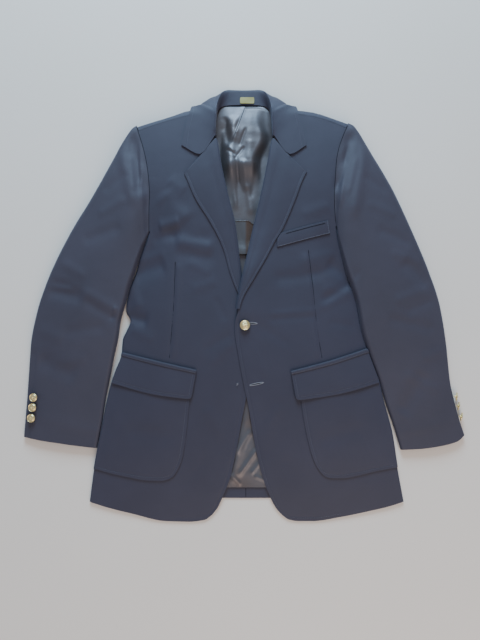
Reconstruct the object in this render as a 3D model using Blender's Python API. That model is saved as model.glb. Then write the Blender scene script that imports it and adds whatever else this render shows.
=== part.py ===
"""A navy sport coat laid flat on its back, buttoned with its upper button.

Metres, +Z up, +Y towards the collar, the floor at z = 0. Left and right are the wearer's: left is +X.
Distances called "out" run sideways from the coat's centre line, and tables are in millimetres.
"""

import math

import bmesh
import bpy
import numpy as np

MM = 0.001
CENTRE_X = 3.5 * MM  # the coat's centre line
NECK_X = 0.5 * MM  # the collar's own middle
CLOTH = 1.5 * MM  # worsted with its lining or canvas
SLEEVE_CLOTH = 1.4 * MM
LAPEL_CLOTH = 2.0 * MM  # cloth, canvas and facing
COLLAR_CLOTH = 2.0 * MM
LINING_CLOTH = 1.0 * MM
LABEL_CLOTH = 0.7 * MM
STRIP_CLOTH = 0.9 * MM
LABEL_TOP = 8.4 * MM  # above the stand of the collar at the back
SEAM_GAP = 0.3 * MM
LAY_GAP = 0.5 * MM  # between a panel and what lies on it
LAPEL_GAP = 0.7 * MM
ARMHOLE_GAP = 0.9 * MM
PANEL_GAP = 0.8 * MM  # at curved seams, whose two sides are cut at different points
ROLL_START = 16 * MM  # below the break, where the front's edge starts to roll
FACING_WRAP = 14 * MM  # facing under the front, behind the roll line
SLEEVE_WRAP = 10 * MM
HEM_SIDE_Y = -376 * MM
SIDE_HEM_DROP = 3 * MM
BACK_HEM_Y = -370 * MM
LINING_HEM_Y = -351 * MM
LINING_DETAIL_Y = 60 * MM  # the lining's folds in the neck opening start here
NECK_SEAM_Y = 374 * MM
BUTTON_RADIUS = 9.5 * MM
CUFF_BUTTON_RADIUS = 7.6 * MM
LEAF_LIFT = 2.8 * MM  # the back's rise over the collar's leaf


def table(columns, *rows):
    """A table in millimetres as a dictionary of columns in metres."""
    return {name: [row[i] * MM for row in rows] for i, name in enumerate(columns.split())}


SIDES = {
    "left": {
        "sign": 1,
        "underarm": 128 * MM,
        # plain front edge up to the break, then the roll line
        "edge": table(
            "y out",
            (-400, 66), (-388, 55), (-367, 43.5), (-342, 33.5), (-285, 18.5), (-211, 5.5),
            (-168, -3.5), (-120, -12.5), (-66, -20), (-33, -18), (22, -9.5), (67, 0.5),
            (130, 14.5), (206, 32), (256, 42), (297, 50), (312, 57), (354, 58),
        ),
        "break_y": -33 * MM,
        "lapel": table(
            "y out",
            (-33, -13), (-6, -4.5), (29, 15.5), (67, 37.5), (101, 55.5), (120, 67.5),
            (182, 94.5), (217, 107.5), (232, 115.5),
        ),
        "notch": (83.5 * MM, 262 * MM),
        "side": table(
            "y out",
            (-376, 284.5), (-313, 274.5), (-254, 267), (-200, 254), (-160, 245.5), (-112, 229.5),
            (-66, 216.5), (-16, 209.3), (37, 193.2), (86, 181.5), (112, 175.2), (128, 171.8),
        ),
        "armhole": table(
            "y out",
            (128, 173.5), (141, 169), (186, 167), (223, 169.5), (254, 172), (277, 176.5),
            (303, 185.5), (330, 197.5),
        ),
        "shoulder_seam": table(
            "out y", (56, 352), (96, 346), (120, 343.5), (143, 338), (170, 328.5), (193, 318),
        ),
        "shoulder_fold": table(
            "out y", (56, 366), (76, 363), (92, 359.5), (113, 358), (132, 355), (165, 344), (194, 331),
        ),
        "hem": table(
            "out y",
            (66, -400), (78, -407.5), (96, -410), (120, -410), (169, -403), (228, -391),
            (258, -384), (284, -376),
        ),
        "sleeve_outer": table(
            "out y",
            (199.5, 334), (208.5, 328), (220, 311), (231.5, 288), (247.5, 260), (263.5, 232),
            (279.5, 202), (293.5, 171), (312.5, 126), (330.5, 81), (344.5, 43), (362.5, -20),
            (371.5, -89), (376.5, -162), (381.5, -191), (389.5, -227), (398.5, -257),
        ),
        "sleeve_inner": table(
            "out y",
            (175, 128), (179, 112), (185.5, 86), (197, 37), (212.5, -16), (219, -66),
            (231.5, -112), (248.5, -164), (257.5, -200), (269.5, -241), (281.5, -284),
        ),
        "cuff": table("out y", (398.5, -257), (383.5, -269), (352.5, -277), (317.5, -282), (281.5, -284)),
        "flap": table("out top bottom", (82.5, -142, -196), (160, -123, -184.5), (240, -101, -164)),
        "patch": table(
            "y out", (-331, 143), (-324, 135), (-300, 121.5), (-253, 109.5), (-194, 100.5), (-158, 97),
        ),
        "patch_bottom": table(
            "out y", (143, -331), (152, -333.5), (170, -334), (200, -330), (243, -321), (275, -315),
        ),
        "overlap": table(
            "y lift",
            (-300, 0), (-230, 0.8), (-168, 2.6), (-60, 5.2), (-30, 8.0), (40, 8.2), (90, 4.5),
            (150, 1.2), (210, 0),
        ),
    },
    "right": {
        "sign": -1,
        "underarm": 118 * MM,
        "edge": table(
            "y out",
            (-399, 60.5), (-386, 50.5), (-369, 42.5), (-335, 28.5), (-306, 21.5), (-272, 14.5),
            (-233, 7.5), (-198, 0.5), (-120, -10), (-60, -14), (-28, -9), (20, 4), (67, 10.5),
            (113, 16), (142, 20.5), (177, 29.5), (217, 39), (256, 47), (297, 54), (312, 61), (354, 61.5),
        ),
        "break_y": -28 * MM,
        "lapel": table(
            "y out",
            (-28, -3.5), (4, 14.5), (43, 29.5), (80, 39.5), (105, 49.5), (138, 67.5),
            (183, 95.5), (218, 110.5), (229, 115.5),
        ),
        "notch": (86.5 * MM, 262 * MM),
        "side": table(
            "y out",
            (-376, 281.5), (-313, 274.5), (-260, 265.5), (-206, 256.5), (-164, 247.5), (-142, 241),
            (-109, 230), (-85, 229), (-66, 221), (-51, 216), (-32, 224.5), (-8, 222),
            (38, 209.5), (86, 195), (104, 187.5), (118, 182),
        ),
        "armhole": table(
            "y out",
            (118, 182), (141, 182), (170, 181.5), (193, 181), (216, 182.5), (246, 186.5),
            (277, 193.5), (303, 201.5), (328, 209.5),
        ),
        "shoulder_seam": table(
            "out y", (56, 353), (102, 345), (120, 341), (150, 332), (183, 321), (205, 312),
        ),
        "shoulder_fold": table(
            "out y", (56, 367), (78, 364.5), (95, 361), (119, 356.5), (140, 348), (176, 336), (206, 325),
        ),
        "hem": table(
            "out y",
            (60.5, -399), (74.5, -408), (101.5, -411), (143.5, -410), (203.5, -397), (248.5, -386),
            (281.5, -376),
        ),
        "sleeve_outer": table(
            "out y",
            (211, 329), (220, 321), (233, 299), (243, 279), (272, 223), (298.5, 174),
            (322.5, 133), (343, 93), (359, 58), (372.5, 24), (389.5, -35),
            (398.5, -94), (400.5, -158), (401.5, -195), (404.5, -261),
        ),
        "sleeve_inner": table(
            "out y",
            (183.5, 118), (189, 104), (196.5, 86), (210.5, 38), (226, -15), (231.5, -47),
            (236.5, -85), (242, -112), (247.5, -142), (258, -194), (264, -236), (270.5, -281),
        ),
        "cuff": table("out y", (404.5, -261), (372, -267.5), (340.5, -272), (305, -277), (270.5, -281)),
        "flap": table("out top bottom", (90, -140, -194), (160, -125, -184.5), (239, -108, -164.5)),
        "patch": table(
            "y out", (-336, 139), (-329, 129), (-297, 114.5), (-248, 107.5), (-194, 102.5), (-158, 99),
        ),
        "patch_bottom": table(
            "out y", (139, -336), (152, -338.5), (176, -338), (205, -334), (237, -328), (275, -318),
        ),
        "overlap": table("y lift", (-300, 0), (210, 0)),
    },
}

# Height of the front above the floor: at its edge or roll line, inside it, at mid panel and at the side.
LEVELS = table(
    "y edge inside middle side",
    (-411, 2.6, 2.6, 2.8, 3.4),
    (-376, 4.6, 5.0, 5.2, 4.6),
    (-345, 6.4, 6.8, 7.2, 6.0),
    (-290, 7.4, 9.0, 9.5, 8.0),
    (-200, 7.8, 11.0, 12.0, 9.0),
    (-100, 8.2, 12.5, 14.0, 9.0),
    (-20, 8.8, 13.5, 15.0, 9.0),
    (60, 9.5, 15.0, 17.0, 10.0),
    (118, 12.5, 18.0, 20.0, 15.5),
    (160, 17.0, 21.0, 23.0, 21.0),
    (220, 22.5, 25.0, 26.5, 26.0),
    (290, 27.0, 27.5, 27.5, 27.0),
    (353, 27.0, 27.0, 26.5, 26.0),
)
LEVEL_FRACTIONS = (0, 0.3, 0.65, 1)
SIDE_REFERENCE = table("y out", (-411, 290), (-200, 250), (-20, 214), (118, 176), (353, 200))

# Height of a sleeve: half way across, and at its outer and inner folds.
SLEEVE_LEVELS = {
    "along": [0, 0.05, 0.12, 0.25, 0.4, 0.6, 0.8, 1],
    **table(
        "middle outer inner",
        (28, 26, 17), (32, 27, 18), (33, 27, 20), (29, 24, 21), (25, 20, 20), (20, 15, 16),
        (15, 11, 12), (11.5, 9, 10),
    ),
}

# The largest folds: from one end to the other (x, y), half width and height, below zero for a trough.
FOLDS = table(
    "x1 y1 x2 y2 width height",
    (-214, 300, -192, 190, 9, -3.5),
    (-236, 285, -206, 170, 10, 2.5),
    (205, 305, 178, 200, 9, -3.5),
    (232, 290, 205, 150, 11, 2.8),
    (-366, 10, -300, -6, 14, -3.0),
    (-205, 40, -150, 56, 16, -2.6),
    (-150, 118, -60, 100, 14, -2.2),
    (-150, 190, -110, 140, 18, 2.2),
    (-225, -40, -180, -48, 12, -2.4),
    (160, 60, 205, 25, 14, -2.6),
    (60, 30, 150, 38, 12, -1.6),
    (300, 60, 345, 20, 15, -2.4),
    (330, -150, 290, -215, 15, -2.2),
    (-375, -120, -310, -150, 15, -2.0),
)

# Half of the collar from the middle of the back to the gorge: the seam at the foot of the stand, the
# stand's top, the start of the leaf beyond the fold, the leaf's middle and its edge, each (out, y, z).
# A height of 0 in the last rows is on the front, which the leaf lies on there.
COLLAR_STATIONS = (
    {
        "seam": (0, 377, 6.8),
        "stand": (0, 405, 7.2),
        "fall": (0, 405, 0),
        "leaf": (0, 388, 0),
        "edge": (0, 367, 0),
    },
    {
        "seam": (28, 376, 7),
        "stand": (26, 404, 8.5),
        "fall": (29, 405.5, 0.6),
        "leaf": (30, 388, 0),
        "edge": (28, 366.5, 0),
    },
    {
        "seam": (42, 372, 8.5),
        "stand": (38.5, 395, 13),
        "fall": (42.5, 401.5, 8.5),
        "leaf": (47, 396, 0.8),
        "edge": (44, 365, 0),
    },
    {
        "seam": (48.5, 365, 10.5),
        "stand": (46.5, 379, 20),
        "fall": (51, 386.5, 19.5),
        "leaf": (60, 393, 7),
        "edge": (60, 363, 0),
    },
    {
        "seam": (51.5, 356, 12),
        "stand": (51, 362.5, 27),
        "fall": (55.5, 368, 29.5),
        "leaf": (71, 382, 16),
        "edge": (76, 362.5, 0.3),
    },
    {
        "seam": (53, 345, 13),
        "stand": (52.5, 351, 31),
        "fall": (57, 356, 33.5),
        "leaf": (82, 371, 20),
        "edge": (90.5, 365, 5.5),
    },
    {
        "seam": (53.5, 335, 14),
        "stand": (53.5, 341, 32.5),
        "fall": (58, 346, 34.5),
        "leaf": (83, 364, 28.5),
        "edge": (99, 367, 18),
    },
    {
        "seam": (54, 322, 15),
        "stand": (54, 326, 32),
        "fall": (58.5, 330, 34),
        "leaf": (80, 341, 31.4),
        "edge": (104, 347, 30.8),
    },
    {
        "seam": (54.5, 309, 16),
        "stand": (54.5, 311, 30.5),
        "fall": (59, 313, 32.5),
        "leaf": (82, 313, 30.9),
        "edge": (112.5, 316, 30.8),
    },
)
COLLAR_ACROSS = np.linspace(0, 1, 11)
COLLAR_ROWS = 29
COLLAR_TIP = (118.5 * MM, 283.5 * MM)


def smooth(xs, ys, at):
    """A curve through points with rising xs that never overshoots them."""
    xs = np.asarray(xs, float)
    ys = np.asarray(ys, float)
    step = np.diff(xs)
    rise = np.diff(ys) / step
    slope = np.concatenate([rise[:1], np.zeros(len(xs) - 2), rise[-1:]])
    for i in range(1, len(xs) - 1):
        if rise[i - 1] * rise[i] > 0:
            slope[i] = 2 * rise[i - 1] * rise[i] / (rise[i - 1] + rise[i])
    at = np.clip(at, xs[0], xs[-1])
    i = np.clip(np.searchsorted(xs, at, side="right") - 1, 0, len(xs) - 2)
    t = (at - xs[i]) / step[i]
    return (
        ys[i] * (1 + 2 * t) * (1 - t) ** 2
        + ys[i + 1] * t * t * (3 - 2 * t)
        + step[i] * t * (1 - t) * (slope[i] * (1 - t) - slope[i + 1] * t)
    )


def column(rows, key, value, at):
    return smooth(rows[key], rows[value], at)


def through(points, fractions):
    """Points at the given fractions of the length of a smooth line through others."""
    points = np.asarray(points, float)
    length = np.concatenate([[0], np.cumsum(np.linalg.norm(np.diff(points, axis=0), axis=1))])
    at = np.asarray(fractions) * length[-1]
    return np.stack([smooth(length, points[:, i], at) for i in range(points.shape[1])], axis=1)


def ease(t):
    t = np.clip(t, 0, 1)
    return t * t * (3 - 2 * t)


def folds_at(rows, x, y):
    """Height that a table of folds adds at a place."""
    total = 0
    for x1, y1, x2, y2, width, height in zip(*rows.values()):
        size = math.hypot(x2 - x1, y2 - y1)
        run_x, run_y = (x2 - x1) / size, (y2 - y1) / size
        along = ((x - x1) * run_x + (y - y1) * run_y) / size
        across = (x - x1) * run_y - (y - y1) * run_x
        ends = ease(along * 4 + 0.5) * ease((1 - along) * 4 + 0.5)
        total += height * math.exp(-((across / width) ** 2)) * ends
    return total


def front_height(side, out, y):
    """Height of the outside of a front."""
    edge = column(side["edge"], "y", "out", y)
    reference = column(SIDE_REFERENCE, "y", "out", y)
    part = np.clip((out - edge) / (reference - edge), 0, 1)
    levels = [column(LEVELS, "y", name, y) for name in ("edge", "inside", "middle", "side")]
    height = smooth(LEVEL_FRACTIONS, levels, part)
    height += column(side["overlap"], "y", "lift", y) * (1 - ease(part / 0.4))
    fold = folds_at(FOLDS, CENTRE_X + side["sign"] * out, y)
    return height + fold * ease(part * 5) * ease((height - 6 * MM) / (4 * MM))


def side_radius(y):
    """Radius of the side fold, half of the front's height there."""
    return column(LEVELS, "y", "side", y) / 2


def at_front(side, out, y, lift=0.0):
    """A point on a front, or that far above it. Past the side's top it turns round the side fold."""
    turn_out = column(side["side"], "y", "out", y) - side_radius(y)
    if y > side["underarm"] or out <= turn_out:
        return (CENTRE_X + side["sign"] * out, y, front_height(side, out, y) + lift)
    radius = front_height(side, turn_out, y) / 2
    angle = (out - turn_out) / radius
    if angle < math.pi:
        away = turn_out + (radius + lift) * math.sin(angle)
        return (CENTRE_X + side["sign"] * away, y, radius + (radius + lift) * math.cos(angle))
    return (CENTRE_X + side["sign"] * turn_out, y, -lift)


def material(name, colour, roughness, metallic=0.0):
    """A plain material with the piece's colour and gloss."""
    made = bpy.data.materials.new(name)
    made.use_nodes = True
    shader = made.node_tree.nodes["Principled BSDF"]
    shader.inputs["Base Color"].default_value = (*colour, 1)
    shader.inputs["Roughness"].default_value = roughness
    shader.inputs["Metallic"].default_value = metallic
    return made


def add_object(name, mesh, look):
    thing = bpy.data.objects.new(name, mesh)
    bpy.context.scene.collection.objects.link(thing)
    mesh.materials.append(material(name, **look))
    mesh.shade_smooth()
    mesh.set_sharp_from_angle(angle=math.radians(50))
    return thing


def cloth(name, grids, thickness, look, facing):
    """A cloth wall: grids of outside points joined where they meet, and moved in by the thickness.

    The first face of the first grid looks towards facing."""
    skin = bmesh.new()
    for grid in grids:
        rows = [[skin.verts.new(point) for point in row] for row in grid]
        for low, high in zip(rows, rows[1:]):
            for a, b, c, d in zip(low, low[1:], high[1:], high):
                skin.faces.new((a, b, c, d))
    bmesh.ops.remove_doubles(skin, verts=skin.verts, dist=1e-5)
    bmesh.ops.recalc_face_normals(skin, faces=skin.faces)
    skin.faces.ensure_lookup_table()
    skin.normal_update()
    if skin.faces[0].normal.dot(facing) < 0:
        bmesh.ops.reverse_faces(skin, faces=skin.faces)
        skin.normal_update()
    outside = list(skin.verts)
    faces = list(skin.faces)
    rim = [(edge, edge.link_loops[0].vert) for edge in skin.edges if edge.is_boundary]
    inside = {vert: skin.verts.new(vert.co - vert.normal * thickness) for vert in outside}
    for face in faces:
        skin.faces.new([inside[vert] for vert in reversed(face.verts)])
    for edge, first in rim:
        second = edge.other_vert(first)
        skin.faces.new((second, first, inside[first], inside[second]))
    mesh = bpy.data.meshes.new(name)
    skin.to_mesh(mesh)
    skin.free()
    return add_object(name, mesh, look)


def turned(name, profile, centre, axis, look, segments):
    """A solid of revolution: (radius, height) pairs from its foot to its top, along an axis."""
    axis = np.asarray(axis, float) / np.linalg.norm(axis)
    across = np.cross(axis, (0, 1, 0))
    across = across / np.linalg.norm(across)
    third = np.cross(axis, across)
    shape = bmesh.new()
    rings = []
    for radius, height in profile:
        middle = np.asarray(centre) + axis * height
        turns = [2 * math.pi * i / segments for i in range(segments)]
        spokes = [across * math.cos(turn) + third * math.sin(turn) for turn in turns]
        rings.append([shape.verts.new(middle + spoke * radius) for spoke in spokes])
    for low, high in zip(rings, rings[1:]):
        for i in range(segments):
            j = (i + 1) % segments
            shape.faces.new((low[i], low[j], high[j], high[i]))
    shape.faces.new(rings[0])
    shape.faces.new(rings[-1])
    bmesh.ops.recalc_face_normals(shape, faces=shape.faces)
    mesh = bpy.data.meshes.new(name)
    shape.to_mesh(mesh)
    shape.free()
    return add_object(name, mesh, look)


NAVY = {"colour": (0.035, 0.042, 0.07), "roughness": 0.85}
LINING = {"colour": (0.16, 0.14, 0.135), "roughness": 0.4}
SATIN = {"colour": (0.32, 0.33, 0.33), "roughness": 0.35}
GOLD_CLOTH = {"colour": (0.45, 0.34, 0.08), "roughness": 0.6}
BRASS = {"colour": (0.78, 0.6, 0.27), "roughness": 0.3, "metallic": 1.0}

# the seam between front and side panel, under the coat
SIDE_SEAM = table("y out", (-376, 258), (-200, 231), (-50, 194), (40, 178), (118, 157), (128, 155))
FRONT_COLUMNS = (0, 0.04, 0.1, 0.21, 0.32, 0.43, 0.54, 0.65, 0.76, 0.87, 0.94, 1)
LOW_ROWS = (0, 0.03, 0.07, 0.12, 0.18, 0.26, 0.35, 0.44, 0.53, 0.62, 0.7, 0.77, 0.85, 0.93, 1)
HIGH_ROWS = 9
TURN_STEPS = 5


def edge_out(side, y):
    """Where the front's cloth ends: behind the lapel's roll above the break, else the edge itself."""
    roll = LAPEL_CLOTH + LAPEL_GAP + CLOTH / 2 + SEAM_GAP
    return column(side["edge"], "y", "out", y) + roll * ease((y - side["break_y"] + ROLL_START) / ROLL_START)


def front_bounds(side, y):
    """Where the front's flat top ends towards the side: at the armhole, or where the side fold starts."""
    if y > side["underarm"] + 0.1 * MM:
        return column(side["armhole"], "y", "out", y)
    return column(side["side"], "y", "out", y) - side_radius(y)


def front_row(side, share):
    """Points (out, y) across a front, at a share of the way from the hem to the shoulder."""
    side_y = HEM_SIDE_Y + share * (side["shoulder_seam"]["y"][-1] - HEM_SIDE_Y)
    bound = front_bounds(side, side_y)
    row = []
    for part in FRONT_COLUMNS[:-1]:
        out = part * bound
        for _ in range(4):
            hem_y = column(side["hem"], "out", "y", out)
            seam_y = column(side["shoulder_seam"], "out", "y", out)
            y = hem_y + share * (seam_y - hem_y)
            near = edge_out(side, y)
            out = near + part * (bound - near)
        row.append((out, y))
    return row + [(bound, side_y)]


def underarm_share(side):
    return (side["underarm"] - HEM_SIDE_Y) / (side["shoulder_seam"]["y"][-1] - HEM_SIDE_Y)


def front(label, side):
    """A front from its edge to the side seam, which lies under the coat past the side fold."""
    low = underarm_share(side)
    shares = [share * low for share in LOW_ROWS]
    shares += list(low + (1 - low) * np.linspace(0, 1, HIGH_ROWS + 1)[1:])
    main = []
    turn = []
    for index, share in enumerate(shares):
        row = front_row(side, share)
        main.append([at_front(side, out, y) for out, y in row])
        if index < len(LOW_ROWS):
            start, y = row[-1]
            radius = front_height(side, start, y) / 2
            steps = [math.pi * radius * i / TURN_STEPS for i in range(TURN_STEPS + 1)]
            fold = [at_front(side, start + step, y) for step in steps]
            seam = (CENTRE_X + side["sign"] * column(SIDE_SEAM, "y", "out", y), y, 0)
            turn.append(fold + [seam])
    return cloth(f"front_{label}", [main, turn], CLOTH, NAVY, (0, 0, 1))


# across a lapel's leaf from its edge to the roll line; the notch is on the NOTCH_SHARE column at its top
LEAF_SHARES = (0, 0.12, 0.35, 0.6, 0.85, 1)
NOTCH_SHARE = 0.6
GORGE_Y = 297 * MM
GORGE_IN = 4 * MM  # the gorge seam ends this far inside the roll line


def lapel_row(side, y, leaf_out, leaf_y):
    """A section of a lapel: from the leaf's edge to the roll line, round the front's edge and under it."""
    radius = LAPEL_CLOTH + LAPEL_GAP + CLOTH / 2
    roll = column(side["edge"], "y", "out", y)
    middle = roll + radius
    height = front_height(side, middle, y) - CLOTH / 2
    row = []
    for share in LEAF_SHARES:
        out = leaf_out + share * (middle - leaf_out)
        row_y = leaf_y + share * (y - leaf_y)
        row.append((out, row_y, front_height(side, out, row_y) + LAPEL_GAP + LAPEL_CLOTH))
    for i in (1, 2, 3):
        angle = math.pi * i / 4
        row.append((middle - radius * math.sin(angle), y, height + radius * math.cos(angle)))
    for under in (0, FACING_WRAP):
        below = CLOTH + LAPEL_GAP + LAPEL_CLOTH
        row.append((middle + under, y, front_height(side, middle + under, y) - below))
    return row


def lapel(label, side):
    """The turned part of a front with its facing, from the break up to the gorge."""
    peak_y = side["lapel"]["y"][-1]
    gorge_out = column(side["edge"], "y", "out", GORGE_Y) + GORGE_IN
    rows = []
    for share in np.linspace(0.02, 1, 17):
        leaf_y = side["break_y"] + share * (peak_y - side["break_y"])
        y = side["break_y"] + share * (GORGE_Y - side["break_y"])
        y += (leaf_y - y) * (1 - ease(share)) * 0.9
        rows.append(lapel_row(side, y, column(side["lapel"], "y", "out", leaf_y), leaf_y))
    # the top edge runs from the peak to the notch, then along the gorge seam
    corners = (side["lapel"]["out"][-1], peak_y), side["notch"], (gorge_out, GORGE_Y)
    for i, share in enumerate(LEAF_SHARES[1:], 1):
        out, y = (np.interp(share, (0, NOTCH_SHARE, 1), [corner[k] for corner in corners]) for k in (0, 1))
        rows[-1][i] = (out, y, front_height(side, out, y) + LAPEL_GAP + LAPEL_CLOTH)
    grid = [[(CENTRE_X + side["sign"] * out, y, z) for out, y, z in row] for row in rows]
    return cloth(f"lapel_{label}", [grid], LAPEL_CLOTH, NAVY, (0, 0, 1))


SEAM_OUT = table("y out", (-370, 150), (-100, 132), (0, 127), (118, 124))
BACK_COLUMNS = (0.001, 0.16, 0.3, 0.47, 0.66, 0.83, 0.93, 1)
SEAM_COLUMN = 4
NECK_COLUMN = 2


def leaf_rise(out, y):
    """How far the collar's leaf lifts the back off the floor."""
    return LEAF_LIFT * ease((112 * MM - out) / (30 * MM)) * ease((y - 300 * MM) / (52 * MM))


def neck_line(out):
    """Top of the flat back: the neck seam, then where the shoulder starts to turn up."""
    return smooth([0, 34 * MM, 48 * MM, 56 * MM], [NECK_SEAM_Y, 372 * MM, 365 * MM, 359 * MM], out)


def back(label, side):
    """A back panel from the centre seam to the side seam and armhole, with its turn up the shoulder."""
    sign = side["sign"]
    tip_out = side["shoulder_seam"]["out"][-1]
    split = side["underarm"] + 0.6 * MM

    def place(out, y, z):
        return (CENTRE_X + sign * max(out, SEAM_GAP / 2), y, z)

    def out_at(part, y):
        edge = column(side["armhole"], "y", "out", y) - ARMHOLE_GAP
        return part * edge

    def fold_radius(out):
        seam_y = column(side["shoulder_seam"], "out", "y", out)
        return (front_height(side, out, seam_y) - leaf_rise(out, seam_y)) / 2

    def shoulder(part):
        """The seam's place on one column, where its turn starts, and the turn's depth and height."""
        y = side["shoulder_seam"]["y"][-1]
        for _ in range(4):
            y = column(side["shoulder_seam"], "out", "y", out_at(part, y)) + PANEL_GAP
        start = y + 0.7 * MM
        depth = column(side["shoulder_fold"], "out", "y", out_at(part, start)) - start
        return y, start, depth, fold_radius(out_at(part, y))

    low = []
    for y in np.linspace(BACK_HEM_Y, split, 7):
        scale = column(SEAM_OUT, "y", "out", y) / BACK_COLUMNS[SEAM_COLUMN]
        if y == split:
            scale = out_at(1, y)
        low.append([place(part * scale, y, 0) for part in BACK_COLUMNS[: SEAM_COLUMN + 1]])
    high = []
    for share in np.linspace(0, 1, 9):
        row = []
        for index, part in enumerate(BACK_COLUMNS):
            top_y = shoulder(part)[1] if index >= NECK_COLUMN else neck_line(part * tip_out)
            y = split + share * (top_y - split)
            out = out_at(part, y)
            row.append(place(out, y, leaf_rise(out, y)))
        high.append(row)
    turn = []
    for step in range(TURN_STEPS + 2):
        row = []
        for part in BACK_COLUMNS[NECK_COLUMN:]:
            seam_y, start, depth, radius = shoulder(part)
            angle = math.pi * min(step, TURN_STEPS) / TURN_STEPS
            y = seam_y if step > TURN_STEPS else start
            if 0 < step < TURN_STEPS:
                y = start + depth * math.sin(angle)
            low_z = leaf_rise(out_at(part, start), start)
            row.append(place(out_at(part, y), y, low_z + radius * (1 - math.cos(angle))))
        turn.append(row)
    return cloth(f"back_{label}", [low, high, turn], CLOTH, NAVY, (0, 0, -1))


def side_panel(label, side):
    """The panel under the arm, flat on the floor between the front's wrap and the back."""
    rows = []
    for y in np.linspace(BACK_HEM_Y - SIDE_HEM_DROP, side["underarm"] - SEAM_GAP, 8):
        far = column(SIDE_SEAM, "y", "out", y) - 1.5 * PANEL_GAP
        near = column(SEAM_OUT, "y", "out", y) + PANEL_GAP
        rows.append([(CENTRE_X + side["sign"] * (near + part * (far - near)), y, 0) for part in (0, 0.5, 1)])
    return cloth(f"side_{label}", [rows], CLOTH, NAVY, (0, 0, -1))


SLEEVE_ALONG = (0, 0.02, 0.045, 0.08, 0.12, 0.17, *np.linspace(0.22, 1, 14))
SLEEVE_ACROSS = (0, 0.07, 0.16, 0.28, 0.41, 0.54, 0.67, 0.79, 0.88, 0.95, 1)


def sleeve_plan(side, along, across):
    """A place (out, y) inside a sleeve's outline, from its inner fold (0) to its outer fold (1)."""
    outer = list(zip(side["sleeve_outer"]["out"], side["sleeve_outer"]["y"]))
    inner = list(zip(side["sleeve_inner"]["out"], side["sleeve_inner"]["y"]))
    cuff = list(zip(side["cuff"]["out"], side["cuff"]["y"]))[::-1]
    head = [inner[0]]
    head += [(out + ARMHOLE_GAP, y) for out, y in zip(side["armhole"]["out"], side["armhole"]["y"]) if
             inner[0][1] + 8 * MM < y < outer[0][1] - 12 * MM]
    head.append(outer[0])
    far = through(outer, [along])[0]
    near = through(inner, [along])[0]
    top = through(head, across)
    end = through(cuff, across)
    across = np.asarray(across)[:, None]
    corners = np.array(inner[0]), np.array(outer[0]), np.array(inner[-1]), np.array(outer[-1])
    flat = (1 - across) * near + across * far + (1 - along) * top + along * end
    flat -= (1 - along) * ((1 - across) * corners[0] + across * corners[1])
    flat -= along * ((1 - across) * corners[2] + across * corners[3])
    return flat


def sleeve_row(side, along):
    """One ring of a sleeve: its top points, and its outer and inner turns with the wrap under each."""
    fractions = np.linspace(0, 1, 41)
    line = sleeve_plan(side, along, fractions)
    length = np.concatenate([[0], np.cumsum(np.linalg.norm(np.diff(line, axis=0), axis=1))])
    names = ("inner", "middle", "outer")
    levels = [smooth(SLEEVE_LEVELS["along"], SLEEVE_LEVELS[name], along) for name in names]

    def spot(distance):
        share = distance / length[-1]
        at = np.array([np.interp(distance, length, line[:, i]) for i in (0, 1)])
        height = smooth((0, 0.5, 1), levels, share)
        x = CENTRE_X + side["sign"] * at[0]
        height = height + folds_at(FOLDS, x, at[1]) * ease(share * 6) * ease((1 - share) * 6)
        join = front_height(side, at[0], at[1])
        return at, join + (height - join) * ease(along / 0.05)

    def turn(distance, way):
        """The half round from the top to the floor at one end of the row, and the wrap beyond it."""
        end, height = spot(distance)
        radius = height / 2
        before, _ = spot(min(max(distance - way * 6 * MM, 0), length[-1]))
        heading = (end - before) / np.linalg.norm(end - before)
        points = []
        for i in range(1, TURN_STEPS + 1):
            angle = math.pi * i / TURN_STEPS
            spread = end + heading * radius * math.sin(angle)
            points.append((*spread, radius + radius * math.cos(angle)))
        points.append((*(end - heading * SLEEVE_WRAP), 0))
        return points

    start = spot(0)[1] / 2
    stop = length[-1] - spot(length[-1])[1] / 2
    top = []
    for part in SLEEVE_ACROSS:
        at, height = spot(start + part * (stop - start))
        top.append((*at, height))
    row = turn(start, -1)[::-1] + top + turn(stop, 1)
    margin = SLEEVE_WRAP + 2 * PANEL_GAP
    under = [(*spot(distance)[0], 0) for distance in np.linspace(start + margin, stop - margin, 3)]
    return row, under


def sleeve(label, side):
    """A sleeve laid flat: the upper sleeve folds round both edges to the under sleeve on the floor."""
    upper = []
    under = []
    for along in SLEEVE_ALONG:
        row, floor_row = sleeve_row(side, along)
        upper.append([(CENTRE_X + side["sign"] * out, y, z) for out, y, z in row])
        under.append([(CENTRE_X + side["sign"] * out, y, z) for out, y, z in floor_row])
    middle = len(upper[0]) // 2
    grids = [[row[middle:] for row in upper], [row[: middle + 1] for row in upper]]
    cloth(f"upper_sleeve_{label}", grids, SLEEVE_CLOTH, NAVY, (0, 0, 1))
    cloth(f"under_sleeve_{label}", [under], SLEEVE_CLOTH, NAVY, (0, 0, -1))


def collar_section(stations, sign):
    """The collar's visible face at one station, from the stand's seam over the fold to the leaf's edge."""
    seam, stand, fall, leaf, edge = (np.array(at, float) for at in stations.values())
    away = (stand + fall) / 2 - (seam + leaf) / 2
    away = away / np.linalg.norm(away)
    fold = (stand + fall) / 2 + away * np.linalg.norm(stand - fall) * 0.5
    points = through_rows(np.array([seam, stand, fold, fall, leaf, edge]), COLLAR_ACROSS)
    return [(NECK_X + sign * out, y, z) for out, y, z in points]


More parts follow.
